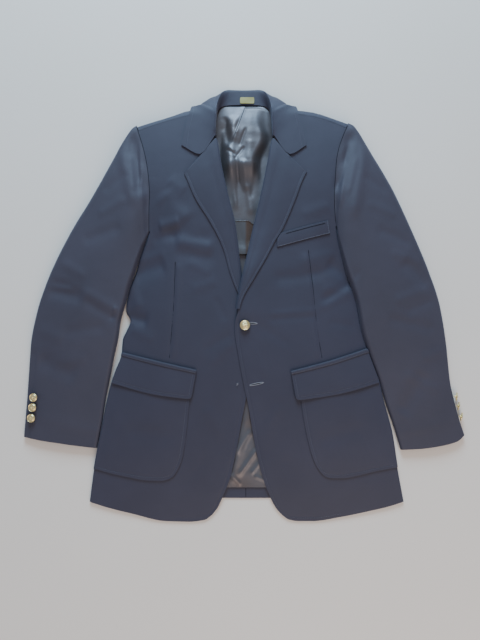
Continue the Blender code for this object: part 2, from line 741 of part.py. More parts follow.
def collar():
    """Stand and leaf in one wall round the neck, the leaf under the back and over the fronts."""
    rows = []
    for label in ("right", "left"):
        side = SIDES[label]
        lie = LAY_GAP + COLLAR_CLOTH + 0.4 * MM
        offset = side["sign"] * (NECK_X - CENTRE_X)
        stations = [{name: np.array(at) * MM for name, at in row.items()} for row in COLLAR_STATIONS]
        gorge_out = column(side["edge"], "y", "out", GORGE_Y) + GORGE_IN - offset
        notch_out = side["notch"][0] - offset
        notch_y = side["notch"][1] + 3.4 * MM
        on_front = front_height(side, 85 * MM, 290 * MM) + lie
        stations.append({
            "seam": (gorge_out - 1 * MM, 302 * MM, on_front - 10 * MM),
            "stand": (gorge_out - 3 * MM, 302 * MM, on_front - 2.5 * MM),
            "fall": (gorge_out + 1 * MM, 301.5 * MM, on_front),
            "leaf": (notch_out, notch_y, on_front),
            "edge": (*COLLAR_TIP, on_front),
        })
        half = [collar_section(row, side["sign"]) for row in stations]
        if label == "right":
            rows = half[::-1]
        else:
            rows += half[1:]
    rows = np.array(rows)
    length = np.linspace(0, 1, COLLAR_ROWS)
    columns = [through_rows(rows[:, i], length) for i in range(rows.shape[1])]
    grid = np.stack(columns, axis=1)
    middle = COLLAR_ROWS // 2
    grids = [grid[middle:].tolist(), grid[: middle + 1].tolist()]
    return cloth("collar", grids, COLLAR_CLOTH, NAVY, (0, 0, 1))


def through_rows(points, fractions):
    """Points at even steps of station number, along a smooth line through one point of each station."""
    number = np.linspace(0, 1, len(points))
    return np.stack([smooth(number, points[:, i], np.asarray(fractions)) for i in range(3)], axis=1)


LINING_WIDTH = table("y out", (280, 135), (330, 84), (352, 60), (366, 51), (373, 45))
LINING_FOLDS = table(
    "x1 y1 x2 y2 width height",
    (1, 372, -20, 330, 5, 2.2),
    (-20, 330, -27, 200, 6, 3.6),
    (12, 350, 16, 150, 11, 3.2),
    (-38, 320, -34, 190, 6, 2.6),
    (-50, 322, 45, 318, 8, 1.6),
    (-6, 250, -2, 120, 5, -1.2),
    (-60, -338, 70, -320, 7, 0.9),
    (-40, -290, 10, -250, 9, 0.9),
)


def lining():
    """The back lining, seen inside the neck and between the fronts at the hem."""
    rows = []
    low = np.linspace(LINING_HEM_Y, LINING_DETAIL_Y, 7)
    high = np.linspace(LINING_DETAIL_Y, NECK_SEAM_Y - 1 * MM, 15)
    for y in (*low, *high[1:]):
        row = []
        for part in np.linspace(-1, 1, 13):
            half = column(LINING_WIDTH, "y", "out", y)
            x = CENTRE_X + half * math.copysign(abs(part) ** 1.4, part)
            height = CLOTH + 2 * LAY_GAP + LINING_CLOTH + leaf_rise(abs(x - CENTRE_X), y)
            height += max(0, folds_at(LINING_FOLDS, x, y))
            row.append((x, y, height))
        rows.append(row)
    return cloth("lining", [rows], LINING_CLOTH, LINING, (0, 0, 1))


def neck_label():
    """The plain woven label at the middle of the back neck."""
    rows = []
    for y in np.linspace(379 * MM, 392 * MM, 3):
        rows.append([(x, y, LABEL_TOP) for x in np.linspace(-7 * MM, 21 * MM, 5)])
    return cloth("neck_label", [rows], LABEL_CLOTH, GOLD_CLOTH, (0, 0, 1))


def inside_patch():
    """The satin piece with a corded top that lies on the lining low in the neck opening."""
    rows = []
    for y in np.linspace(78 * MM, 143 * MM, 6):
        row = []
        for x in np.linspace(-16 * MM, 19 * MM, 6):
            height = CLOTH + 3 * LAY_GAP + 2 * LINING_CLOTH + LAPEL_GAP
            row.append((x, y, height + max(0, folds_at(LINING_FOLDS, x, y))))
        rows.append(row)
    return cloth("inside_patch", [rows], LINING_CLOTH, SATIN, (0, 0, 1))


TURN_ANGLES = (0.35, 0.7)  # how far a pocket follows the side fold
PATCH_TOP_Y = -152 * MM  # under the flap
FLAP_TAPER = 9 * MM  # the flap is this much narrower at its lower edge


def across_to_turn(side, near, y, parts, angles, lift):
    """Points on the front at one level, from near to the side's top, then round the side fold."""
    turn = column(side["side"], "y", "out", y) - side_radius(y)
    radius = front_height(side, turn, y) / 2
    outs = [near + part * (turn - near) for part in parts] + [turn + angle * radius for angle in angles]
    return [at_front(side, out, y, lift) for out in outs]


def patch_pocket(label, side):
    """A patch pocket with a round lower corner, up to the side fold."""
    parts = (0, 0.06, 0.15, 0.32, 0.5, 0.68, 0.86, 1)
    first, last = side["patch_bottom"]["out"][0], side["patch_bottom"]["out"][-1]
    rows = []
    for share in (0, 0.04, 0.12, 0.28, 0.5, 0.75, 1):
        row = []
        for index in range(len(parts) + len(TURN_ANGLES)):
            part = parts[min(index, len(parts) - 1)]
            bottom = column(side["patch_bottom"], "out", "y", first + part * (last - first))
            y = bottom + share * (PATCH_TOP_Y - bottom)
            near = column(side["patch"], "y", "out", y)
            row.append(across_to_turn(side, near, y, parts, TURN_ANGLES, LAY_GAP + CLOTH)[index])
        rows.append(row)
    return cloth(f"patch_pocket_{label}", [rows], CLOTH, NAVY, (0, 0, 1))


def flap_grid(side, lift, shares):
    rows = []
    parts = (0, 0.03, 0.2, 0.4, 0.6, 0.8, 0.94, 1)
    for share in shares:
        row = []
        for index in range(len(parts) + 1):
            near = side["flap"]["out"][0]
            middle = near + parts[min(index, len(parts) - 1)] * (side["flap"]["out"][-1] - near)
            top = column(side["flap"], "out", "top", middle)
            bottom = column(side["flap"], "out", "bottom", middle)
            y = top + share * (bottom - top)
            edge = near + FLAP_TAPER * share
            row.append(across_to_turn(side, edge, y, parts, TURN_ANGLES[:1], lift)[index])
        rows.append(row)
    return rows


def pocket_flap(label, side):
    """A flap over the pocket's mouth."""
    grid = flap_grid(side, 2 * (LAY_GAP + CLOTH), (0, 0.14, 0.5, 0.9, 1))
    return cloth(f"pocket_flap_{label}", [grid], CLOTH, NAVY, (0, 0, 1))


def flap_strip(label, side):
    """The narrow strip that is stitched down along the top of a flap."""
    grid = flap_grid(side, 2 * (LAY_GAP + CLOTH) + SEAM_GAP + STRIP_CLOTH, (0.01, 0.06, 0.12))
    return cloth(f"flap_strip_{label}", [grid], STRIP_CLOTH, NAVY, (0, 0, 1))


WELT_NEAR = 59 * MM
WELT_FAR = 159 * MM
WELT_Y = 89 * MM
WELT_HEIGHT = 25 * MM
WELT_LEAN = 4 * MM
WELT_RISE = 0.265  # its slope up towards the arm


def breast_welt(side):
    """The slanting welt of the breast pocket."""
    rows = []
    for share in (0, 0.5, 1):
        row = []
        for part in (0, 0.25, 0.5, 0.75, 1):
            low_y = WELT_Y + WELT_HEIGHT * share
            near = max(WELT_NEAR, column(side["lapel"], "y", "out", low_y) + 2 * MM)
            out = near + part * (WELT_FAR - WELT_LEAN * share - near)
            row.append(at_front(side, out, low_y + (out - WELT_NEAR) * WELT_RISE, LAY_GAP + CLOTH))
        rows.append(row)
    return cloth("breast_welt", [rows], CLOTH, NAVY, (0, 0, 1))


def button_profile(radius):
    """Half the outline of a domed metal button with a shank: (radius, height) pairs."""
    parts = (
        (0.3, 0), (0.3, 0.28), (0.92, 0.3), (1.0, 0.38), (0.93, 0.5), (0.72, 0.63), (0.4, 0.73), (0.1, 0.76),
    )
    return [(across * radius, up * radius) for across, up in parts]


FRONT_BUTTON = (-1.5 * MM, -58 * MM)  # out, y

# the foot of each cuff button's shank in millimetres, and the way its face looks
CUFF_BUTTONS = (
    {"name": "cuff_button_right_1", "x": -382, "y": -190, "z": 13.6, "lean": (-0.12, 0, 1)},
    {"name": "cuff_button_right_2", "x": -383.5, "y": -208, "z": 13.0, "lean": (-0.1, 0, 1)},
    {"name": "cuff_button_right_3", "x": -385, "y": -227, "z": 12.4, "lean": (-0.1, 0, 1)},
    {"name": "cuff_button_left_1", "x": 386.6, "y": -188, "z": 8, "lean": (0.94, -0.15, 0.3)},
    {"name": "cuff_button_left_2", "x": 389.6, "y": -205, "z": 8, "lean": (0.94, -0.2, 0.3)},
    {"name": "cuff_button_left_3", "x": 393.8, "y": -224, "z": 8, "lean": (0.93, -0.25, 0.3)},
)


def buttons():
    """One button on the left front, and three on each cuff."""
    foot = at_front(SIDES["left"], *FRONT_BUTTON, LAY_GAP)
    turned("front_button", button_profile(BUTTON_RADIUS), foot, (0, 0, 1), BRASS, 16)
    for row in CUFF_BUTTONS:
        x, y, z, lean = (row[name] for name in ("x", "y", "z", "lean"))
        turned(row["name"], button_profile(CUFF_BUTTON_RADIUS), (x * MM, y * MM, z * MM), lean, BRASS, 12)


def build():
    for thing in list(bpy.data.objects):
        bpy.data.objects.remove(thing, do_unlink=True)
    for label, side in SIDES.items():
        back(label, side)
        side_panel(label, side)
        front(label, side)
        lapel(label, side)
        sleeve(label, side)
        patch_pocket(label, side)
        pocket_flap(label, side)
        flap_strip(label, side)
    breast_welt(SIDES["left"])
    collar()
    lining()
    neck_label()
    inside_patch()
    buttons()


build()
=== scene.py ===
# A man's navy sport coat laid flat on its back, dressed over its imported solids.
# Metres, +Z up, +Y towards the collar. Left and right are the wearer's: left is +X.
# "out" runs sideways from the coat's centre line, and the tables are in millimetres.

import math

import bmesh
import bpy
import numpy as np
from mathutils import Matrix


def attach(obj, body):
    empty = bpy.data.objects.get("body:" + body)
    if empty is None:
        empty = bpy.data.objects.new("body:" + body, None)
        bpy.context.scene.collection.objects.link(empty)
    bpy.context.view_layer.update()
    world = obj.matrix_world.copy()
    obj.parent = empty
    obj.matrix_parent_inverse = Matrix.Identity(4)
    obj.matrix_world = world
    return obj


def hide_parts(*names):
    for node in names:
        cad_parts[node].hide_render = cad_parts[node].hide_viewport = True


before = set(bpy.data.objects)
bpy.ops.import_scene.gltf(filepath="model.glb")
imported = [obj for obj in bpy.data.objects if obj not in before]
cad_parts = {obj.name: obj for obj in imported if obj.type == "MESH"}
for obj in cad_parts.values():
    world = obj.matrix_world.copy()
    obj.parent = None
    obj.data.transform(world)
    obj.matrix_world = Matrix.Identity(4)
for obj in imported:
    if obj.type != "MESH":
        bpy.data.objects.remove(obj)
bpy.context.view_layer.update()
mm = 0.001

# cloth thicknesses and the gaps between layers, as in the solids
coat = {
    "centreX": 3.5 * mm,
    "neckX": 0.5 * mm,
    "cloth": 1.5 * mm,
    "sleeveCloth": 1.4 * mm,
    "lapelCloth": 2.0 * mm,
    "collarCloth": 2.0 * mm,
    "liningCloth": 1.0 * mm,
    "seamGap": 0.3 * mm,
    "layGap": 0.5 * mm,
    "lapelGap": 0.7 * mm,
    "armholeGap": 0.9 * mm,
    "panelGap": 0.8 * mm,
    "hemSideY": -376 * mm,
    "backHemY": -370 * mm,
    "liningHemY": -351 * mm,
    "neckSeamY": 374 * mm,
}


oneLayer = coat["layGap"] + coat["cloth"]


def table(columns, *rows):
    return {name: [row[i] * mm for row in rows] for i, name in enumerate(columns.split())}


leftSide = {
    "name": "left",
    "sign": 1,
    "underarm": 128 * mm,
    "edge": table(  # front edge up to the break, then the roll line
        "y out",
        (-400, 66), (-388, 55), (-367, 43.5), (-342, 33.5), (-285, 18.5), (-211, 5.5),
        (-168, -3.5), (-120, -12.5), (-66, -20), (-33, -18), (22, -9.5), (67, 0.5),
        (130, 14.5), (206, 32), (256, 42), (297, 50), (312, 57), (354, 58),
    ),
    "breakY": -33 * mm,
    "lapel": table(
        "y out",
        (-33, -13), (-6, -4.5), (29, 15.5), (67, 37.5), (101, 55.5), (120, 67.5),
        (182, 94.5), (217, 107.5), (232, 115.5),
    ),
    "notch": (83.5 * mm, 262 * mm),
    "side": table(
        "y out",
        (-376, 284.5), (-313, 274.5), (-254, 267), (-200, 254), (-160, 245.5), (-112, 229.5),
        (-66, 216.5), (-16, 209.3), (37, 193.2), (86, 181.5), (112, 175.2), (128, 171.8),
    ),
    "armhole": table(
        "y out",
        (128, 173.5), (141, 169), (186, 167), (223, 169.5), (254, 172), (277, 176.5),
        (303, 185.5), (330, 197.5),
    ),
    "shoulderSeam": table("out y", (56, 352), (96, 346), (120, 343.5), (143, 338), (170, 328.5), (193, 318)),
    "shoulderFold": table(
        "out y", (56, 366), (76, 363), (92, 359.5), (113, 358), (132, 355), (165, 344), (194, 331),
    ),
    "hem": table(
        "out y",
        (66, -400), (78, -407.5), (96, -410), (120, -410), (169, -403), (228, -391), (258, -384), (284, -376),
    ),
    "sleeveOuter": table(
        "out y",
        (198.2, 334), (208.5, 328), (220, 311), (231.5, 288), (247.5, 260), (263.5, 232),
        (279.5, 202), (293.5, 171), (312.5, 126), (330.5, 81), (344.5, 43), (362.5, -20),
        (371.5, -89), (376.5, -162), (381.5, -191), (389.5, -227), (398.5, -257),
    ),
    "sleeveInner": table(
        "out y",
        (173.6, 128), (175.2, 112), (181.2, 86), (187.2, 60), (193, 37), (201.6, 10),
        (208.9, -16), (216.2, -66), (229.3, -112), (247, -164), (256.6, -200), (269.5, -241), (281.5, -284),
    ),
    "cuff": table("out y", (398.5, -257), (383.5, -269), (352.5, -277), (317.5, -282), (281.5, -284)),
    "flap": table("out top bottom", (82.5, -142, -196), (160, -123, -184.5), (240, -101, -164)),
    "patch": table(
        "y out", (-331, 143), (-324, 135), (-300, 121.5), (-253, 109.5), (-194, 100.5), (-158, 97),
    ),
    "patchBottom": table(
        "out y", (143, -331), (152, -333.5), (170, -334), (200, -330), (243, -321), (275, -315),
    ),
    "overlap": table(  # how far it is lifted by the other front under it
        "y lift",
        (-300, 0), (-230, 0.8), (-168, 2.6), (-60, 5.2), (-30, 8.0), (40, 8.2), (90, 4.5),
        (150, 1.2), (210, 0),
    ),
    "dart": table("y out", (-121, 140.5), (-64, 132.5), (23, 124.5), (83, 117.5)),
}
rightSide = {
    "name": "right",
    "sign": -1,
    "underarm": 118 * mm,
    "edge": table(
        "y out",
        (-399, 60.5), (-386, 50.5), (-369, 42.5), (-335, 28.5), (-306, 21.5), (-272, 14.5),
        (-233, 7.5), (-198, 0.5), (-120, -10), (-60, -14), (-28, -9), (20, 4), (67, 10.5),
        (113, 16), (142, 20.5), (177, 29.5), (217, 39), (256, 47), (297, 54), (312, 61), (354, 61.5),
    ),
    "breakY": -28 * mm,
    "lapel": table(
        "y out",
        (-28, -3.5), (4, 14.5), (43, 29.5), (80, 39.5), (105, 49.5), (138, 67.5),
        (183, 95.5), (218, 110.5), (229, 115.5),
    ),
    "notch": (86.5 * mm, 262 * mm),
    "side": table(
        "y out",
        (-376, 281.5), (-313, 274.5), (-260, 265.5), (-206, 256.5), (-164, 247.5), (-142, 241),
        (-109, 230), (-85, 229), (-66, 221), (-51, 216), (-32, 224.5), (-8, 222),
        (38, 209.5), (86, 195), (104, 187.5), (118, 182),
    ),
    "armhole": table(
        "y out",
        (118, 182), (141, 182), (170, 181.5), (193, 181), (216, 182.5), (246, 186.5),
        (277, 193.5), (303, 201.5), (328, 209.5),
    ),
    "shoulderSeam": table("out y", (56, 353), (102, 345), (120, 341), (150, 332), (183, 321), (205, 312)),
    "shoulderFold": table(
        "out y", (56, 367), (78, 364.5), (95, 361), (119, 356.5), (140, 348), (176, 336), (206, 325),
    ),
    "hem": table(
        "out y",
        (60.5, -399), (74.5, -408), (101.5, -411), (143.5, -410), (203.5, -397), (248.5, -386), (281.5, -376),
    ),
    "sleeveOuter": table(
        "out y",
        (210, 329), (220, 321), (233, 299), (243, 279), (272, 223), (298.5, 174),
        (322.5, 133), (343, 93), (359, 58), (372.5, 24), (389.5, -35),
        (398.5, -94), (400.5, -158), (401.5, -195), (404.5, -261),
    ),
    "sleeveInner": table(
        "out y",
        (181.6, 118), (187.4, 104), (194.8, 86), (209.1, 38), (217.6, 10), (223.4, -15), (231.5, -47),
        (236.5, -85), (242, -112), (247.2, -142), (256.6, -194), (262.2, -236), (269.7, -281),
    ),
    "cuff": table("out y", (404.5, -261), (372, -267.5), (340.5, -272), (305, -277), (270.5, -281)),
    "flap": table("out top bottom", (90, -140, -194), (160, -125, -184.5), (239, -108, -164.5)),
    "patch": table(
        "y out", (-336, 139), (-329, 129), (-297, 114.5), (-248, 107.5), (-194, 102.5), (-158, 99),
    ),
    "patchBottom": table(
        "out y", (139, -336), (152, -338.5), (176, -338), (205, -334), (237, -328), (275, -318),
    ),
    "overlap": table("y lift", (-300, 0), (210, 0)),
    "dart": table("y out", (-121, 140.5), (-64, 136.5), (-12, 133.5), (61, 131.5)),
}

# height of the front above the floor: at its edge or roll line, inside it, at mid panel and at the side
levels = table(
    "y edge inside middle side",
    (-411, 2.6, 2.6, 2.8, 3.4),
    (-376, 4.6, 5.0, 5.2, 4.6),
    (-345, 6.4, 6.8, 7.2, 6.0),
    (-290, 7.4, 9.0, 9.5, 8.0),
    (-200, 7.8, 11.0, 12.0, 9.0),
    (-100, 8.2, 12.5, 14.0, 9.0),
    (-20, 8.8, 13.5, 15.0, 9.0),
    (60, 9.5, 15.0, 17.0, 10.0),
    (118, 12.5, 18.0, 20.0, 15.5),
    (160, 17.0, 21.0, 23.0, 21.0),
    (220, 22.5, 25.0, 26.5, 26.0),
    (290, 27.0, 27.5, 27.5, 27.0),
    (353, 27.0, 27.0, 26.5, 26.0),
)
levelFractions = (0, 0.3, 0.65, 1)
sideReference = table("y out", (-411, 290), (-200, 250), (-20, 214), (118, 176), (353, 200))
sleeveLevels = {
    "along": [0, 0.05, 0.12, 0.25, 0.4, 0.6, 0.8, 1],
    **table(
        "middle outer inner",
        (28, 26, 17), (32, 27, 18), (33, 27, 20), (29, 24, 21), (25, 20, 20), (20, 15, 16),
        (15, 11, 12), (11.5, 9, 10),
    ),
}

# folds from one end (x, y) to the other, half width and height, below zero for a trough
folds = table(
    "x1 y1 x2 y2 width height",
    (-214, 300, -192, 190, 9, -3.5),
    (-236, 285, -206, 170, 10, 2.5),
    (205, 305, 178, 200, 9, -3.5),
    (232, 290, 205, 150, 11, 2.8),
    (-366, 10, -300, -6, 14, -3.0),
    (-205, 40, -150, 56, 16, -2.6),
    (-150, 118, -60, 100, 14, -2.2),
    (-150, 190, -110, 140, 18, 2.2),
    (-225, -40, -180, -48, 12, -2.4),
    (160, 60, 205, 25, 14, -2.6),
    (60, 30, 150, 38, 12, -1.6),
    (300, 60, 345, 20, 15, -2.4),
    (330, -150, 290, -215, 15, -2.2),
    (-375, -120, -310, -150, 15, -2.0),
)
# the finer creases of the fronts and sleeves, in the same terms
creases = table(
    "x1 y1 x2 y2 width height",
    # eased cloth at the sleeve heads
    (-203, 286, -196, 214, 3.5, -1.6),
    (-197, 262, -190, 176, 4, 1.4),
    (-214, 262, -206, 196, 5, 1.2),
    (197, 280, 184, 214, 3.5, -1.6),
    (190, 250, 181, 168, 4, 1.4),
    (212, 258, 196, 190, 5, 1.2),
    # the chest and waist on the right, with full places and hollows
    (-158, 127, -122, 136, 11, 2.4),
    (-168, 104, -128, 112, 9, -0.9),
    (-124, 102, -60, 91, 13, 3.0),
    (-118, 112, -84, 116, 9, 0.6),
    (-126, 78, -56, 68, 13, -1.2),
    (-100, 84, -62, 78, 5, 0.39),
    (-150, 176, -104, 168, 15, -0.99),
    (-140, 216, -112, 196, 12, 0.88),
    (-104, 62, -64, 40, 9, 0.77),
    (-96, 10, -52, 24, 9, 0.72),
    (-52, -8, -34, -46, 7, -0.66),
    # the chest and waist on the left
    (112, 150, 160, 168, 10, 0.88),
    (104, 62, 168, 78, 9, 0.88),
    (118, 40, 172, 50, 9, -0.77),
    (148, -12, 204, 26, 8, -1.8),
    (140, -26, 206, 6, 8, 0.88),
    (52, -36, 136, -30, 5, 0.66),
    (48, -48, 132, -43, 5, -0.55),
    (30, -62, 84, -92, 8, -0.61),
    (18, -100, 40, -150, 7, 0.5),
    (-24, -74, -74, -104, 8, -0.66),
    (-20, -92, -60, -128, 8, 0.55),
    # the waist at both sides
    (-212, 20, -196, -24, 9, 1.21),
    (-218, -40, -180, -52, 8, -0.88),
    (-206, -66, -168, -84, 9, 0.88),
    (-196, 64, -150, 78, 9, 0.77),
    (204, -60, 160, -52, 8, -0.66),
    (196, 4, 150, 12, 8, 0.72),
    # sleeves
    (-372, 16, -318, 7, 5, 1.2),
    (-374, 28, -322, 18, 6, -0.9),
    (-345, 62, -296, 34, 9, 1.12),
    (-240, -28, -219, -33, 5, 2.4),
    (-246, -42, -222, -47, 5, -1.6),
    (-300, 6, -226, -34, 10, 1.35),
    (-292, -14, -224, -56, 9, -1.2),
    (-330, -72, -258, -60, 11, -0.98),
    (-296, 100, -232, 124, 11, -1.2),
    (-270, 150, -222, 178, 9, 1.05),
    (-262, 196, -220, 226, 9, -0.83),
    (-390, -60, -336, -84, 10, 0.98),
    (-352, -130, -290, -118, 11, 0.75),
    (340, 10, 280, -14, 9, 1.12),
    (352, -10, 300, -34, 8, -0.98),
    (350, -64, 270, -48, 10, -0.98),
    (312, 96, 252, 120, 10, -1.2),
    (284, 150, 232, 170, 9, 0.98),
    (268, 196, 226, 222, 9, -0.83),
    (330, 60, 276, 76, 9, 0.98),
    (356, -176, 296, -150, 9, 0.75),
    (386, -96, 330, -120, 9, 0.83),
    # below the pockets
    (-210, -250, -130, -262, 14, -0.8),
    (140, -268, 214, -246, 14, -0.8),
    (-110, -352, -70, -300, 9, -0.72),
    (92, -360, 74, -300, 9, -0.72),
    (-240, -352, -200, -372, 10, 0.8),
    (236, -346, 190, -370, 10, 0.8),
    (-66, -210, -38, -262, 10, 0.8),
    (62, -206, 36, -262, 10, 0.8),
)


def smooth(xs, ys, at):
    # a curve through points with rising xs that never overshoots; ys may be rows, one value for each at
    xs = np.asarray(xs, float)
    ys = np.asarray(ys, float)
    at = np.clip(np.asarray(at, float), xs[0], xs[-1])
    step = np.diff(xs)
    rise = np.diff(ys, axis=0) / step.reshape((-1,) + (1,) * (ys.ndim - 1))
    before, after = rise[:-1], rise[1:]
    turning = before * after <= 0
    middle = np.where(turning, 0, 2 * before * after / np.where(turning, 1, before + after))
    slope = np.concatenate([rise[:1], middle, rise[-1:]])
    i = np.clip(np.searchsorted(xs, at, side="right") - 1, 0, len(xs) - 2)
    t = (at - xs[i]) / step[i]

    def pick(rows, index):
        return rows[index] if rows.ndim == 1 else np.take_along_axis(rows, index[None], axis=0)[0]

    low, high = pick(ys, i), pick(ys, i + 1)
    return (
        low * (1 + 2 * t) * (1 - t) ** 2
        + high * t * t * (3 - 2 * t)
        + step[i] * t * (1 - t) * (pick(slope, i) * (1 - t) - pick(slope, i + 1) * t)
    )


def column(rows, key, value, at):
    return smooth(rows[key], rows[value], at)


def ease(t):
    t = np.clip(t, 0, 1)
    return t * t * (3 - 2 * t)


def hump(away, width):
    # 1 at its middle, falling away smoothly on both sides
    return np.exp(-((away / width) ** 2))


def sideX(side, out):
    return coat["centreX"] + side["sign"] * out


def lengthAlong(line):
    # the distance along a line of points, at each of them
    return np.concatenate([[0], np.cumsum(np.linalg.norm(np.diff(line, axis=0), axis=1))])


def through(points, fractions):
    # points at fractions of the length of a smooth line through others
    points = np.asarray(points, float)
    length = lengthAlong(points)
    at = np.asarray(fractions) * length[-1]
    return np.stack([smooth(length, points[:, i], at) for i in range(points.shape[1])], axis=-1)


def foldHeight(rows, x, y):
    total = np.zeros(np.broadcast(x, y).shape)
    for x1, y1, x2, y2, width, height in zip(*(rows[name] for name in "x1 y1 x2 y2 width height".split())):
        size = math.hypot(x2 - x1, y2 - y1)
        runX, runY = (x2 - x1) / size, (y2 - y1) / size
        along = ((x - x1) * runX + (y - y1) * runY) / size
        across = (x - x1) * runY - (y - y1) * runX
        ends = ease(along * 4 + 0.5) * ease((1 - along) * 4 + 0.5)
        total = total + height * hump(across, width) * ends
    return total


def frontHeight(side, out, y, fine=True):
    # height of the outside of a front, with its dart and finer creases where asked for
    edge = column(side["edge"], "y", "out", y)
    reference = column(sideReference, "y", "out", y)
    part = np.clip((out - edge) / (reference - edge), 0, 1)
    names = ("edge", "inside", "middle", "side")
    rows = np.stack([np.broadcast_to(column(levels, "y", name, y), part.shape) for name in names])
    height = smooth(levelFractions, rows, part)
    height = height + column(side["overlap"], "y", "lift", y) * (1 - ease(part / 0.4))
    x = sideX(side, out)
    bend = foldHeight(folds, x, y)
    if fine:
        bend = bend + foldHeight(creases, x, y)
    height = height + bend * ease(part * 5) * ease((height - 6 * mm) / (4 * mm))
    if fine:
        height = height + dartDip(side, out, y)
    return height


dartParts = {
    "dip": 1.1 * mm,
    "dipWidth": 2.2 * mm,
    "full": 0.7 * mm,
    "fullAway": 7 * mm,
    "fullWidth": 6 * mm,
    "fade": 12 * mm,
}


def dartDip(side, out, y):
    # the dart's seam is a narrow dip, with the cloth a little full beside it
    dart = side["dart"]
    fade = dartParts["fade"]
    onDart = ease((y - dart["y"][0]) / fade) * ease((dart["y"][-1] - y) / fade)
    away = out - column(dart, "y", "out", y)
    full = dartParts["full"] * hump(away + dartParts["fullAway"], dartParts["fullWidth"])
    return (full - dartParts["dip"] * hump(away, dartParts["dipWidth"])) * onDart


sideFold = {"narrowest": 0.3, "above": 4 * mm, "fade": 40 * mm}


def foldShare(side, y):
    # the side fold is pressed narrower towards the underarm, where it runs out into the armhole
    below = ease((side["underarm"] + sideFold["above"] - y) / sideFold["fade"])
    return sideFold["narrowest"] + (1 - sideFold["narrowest"]) * below


def sideRadius(side, y):
    return column(levels, "y", "side", y) / 2 * foldShare(side, y)


def atFront(side, out, y, lift=0.0):
    # points on a front or that far above it, turning round the side fold past the side's top
    out, y = np.broadcast_arrays(np.asarray(out, float), np.asarray(y, float))
    turnOut = column(side["side"], "y", "out", y) - sideRadius(side, y)
    flat = (y > side["underarm"]) | (out <= turnOut)
    radius = frontHeight(side, turnOut, y) / 2
    angle = np.clip((out - turnOut) / radius, 0, math.pi)
    away = np.where(flat, out, turnOut + (radius * foldShare(side, y) + lift) * np.sin(angle))
    z = np.where(flat, frontHeight(side, out, y) + lift, radius + (radius + lift) * np.cos(angle))
    return np.stack([sideX(side, away), y, z], axis=-1)


def sewCloth(name, grids, thickness, finish, facing=(0, 0, 1), edgeRound=0.45 * mm):
    # a cloth wall in place of the solid of that name: grids of outside points joined where they meet,
    # with the inside moved in by the thickness
    skin = bmesh.new()
    for grid in grids:
        rows = [[skin.verts.new(point) for point in row] for row in np.asarray(grid).tolist()]
        for low, high in zip(rows, rows[1:]):
            for a, b, c, d in zip(low, low[1:], high[1:], high):
                skin.faces.new((a, b, c, d))
    bmesh.ops.remove_doubles(skin, verts=skin.verts, dist=1e-5)
    bmesh.ops.recalc_face_normals(skin, faces=skin.faces)
    skin.faces.ensure_lookup_table()
    skin.normal_update()
    if skin.faces[0].normal.dot(facing) < 0:
        bmesh.ops.reverse_faces(skin, faces=skin.faces)
        skin.normal_update()
    outside = list(skin.verts)
    faces = list(skin.faces)
    rim = [(edge, edge.link_loops[0].vert) for edge in skin.edges if edge.is_boundary]
    inside = {}
    for vert in outside:
        inner = vert.co - vert.normal * thickness
        inner.z = max(inner.z, 0)
        inside[vert] = skin.verts.new(inner)
    for face in faces:
        skin.faces.new([inside[vert] for vert in reversed(face.verts)])
    for edge, first in rim:
        second = edge.other_vert(first)
        skin.faces.new((second, first, inside[first], inside[second]))
    mesh = bpy.data.meshes.new(f"{name}_cloth")
    skin.to_mesh(mesh)
    skin.free()
    piece = addPiece(f"{name}_cloth", mesh, finish)
    if edgeRound:
        bevel = piece.modifiers.new("roundEdge", "BEVEL")
        bevel.width = edgeRound
        bevel.segments = 2
        bevel.limit_method = "ANGLE"
        bevel.angle_limit = math.radians(55)
    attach(piece, "root")
    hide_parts(name)


def addPiece(name, mesh, finish, sharp=60):
    piece = bpy.data.objects.new(name, mesh)
    bpy.context.scene.collection.objects.link(piece)
    mesh.materials.append(finish)
    mesh.shade_smooth()
    mesh.set_sharp_from_angle(angle=math.radians(sharp))
    return piece


# fronts
frontParts = {
    "columns": 88,
    "rowsLow": 128,
    "rowsHigh": 66,
    "turnSteps": 14,
    "seam": table("y out", (-376, 258), (-200, 231), (-50, 194), (40, 178), (118, 157), (128, 155)),
    "edgeStitch": 5.5 * mm,
    "edgeDip": 0.4 * mm,
    "edgeDipWidth": 1.3 * mm,
}


def edgeOut(side, y):
    # where the front's cloth ends: behind the lapel's roll above the break, else the edge itself
    roll = coat["lapelCloth"] + coat["lapelGap"] + coat["cloth"] / 2 + 0.3 * mm
    return column(side["edge"], "y", "out", y) + roll * ease((y - side["breakY"] + 16 * mm) / (16 * mm))


def frontBounds(side, y):
    # where the front's flat top ends: at the armhole, or where the side fold starts
    flat = column(side["side"], "y", "out", y) - sideRadius(side, y)
    return np.where(y > side["underarm"] + 0.1 * mm, column(side["armhole"], "y", "out", y), flat)


def frontPlan(side, parts, shares):
    # places (out, y) across a front at shares of the way from the hem to the shoulder
    parts, shares = np.meshgrid(parts, shares)
    sideY = coat["hemSideY"] + shares * (side["shoulderSeam"]["y"][-1] - coat["hemSideY"])
    bound = frontBounds(side, sideY)
    out = parts * side["hem"]["out"][-1]
    for _ in range(5):
        hemY = column(side["hem"], "out", "y", out)
        seamY = column(side["shoulderSeam"], "out", "y", out)
        y = np.where(parts == 1, sideY, hemY + shares * (seamY - hemY))
        near = edgeOut(side, y)
        out = near + parts * (bound - near)
    return out, y


def closeEnds(count, ends):
    # even steps with a few close ones at each end, so that an edge can be rolled and stitched
    steps = np.linspace(0, 1, count)
    middle = steps[(steps > ends[-1]) & (steps < 1 - ends[-1])]
    return np.unique(np.concatenate([ends, middle, 1 - np.array(ends)]))


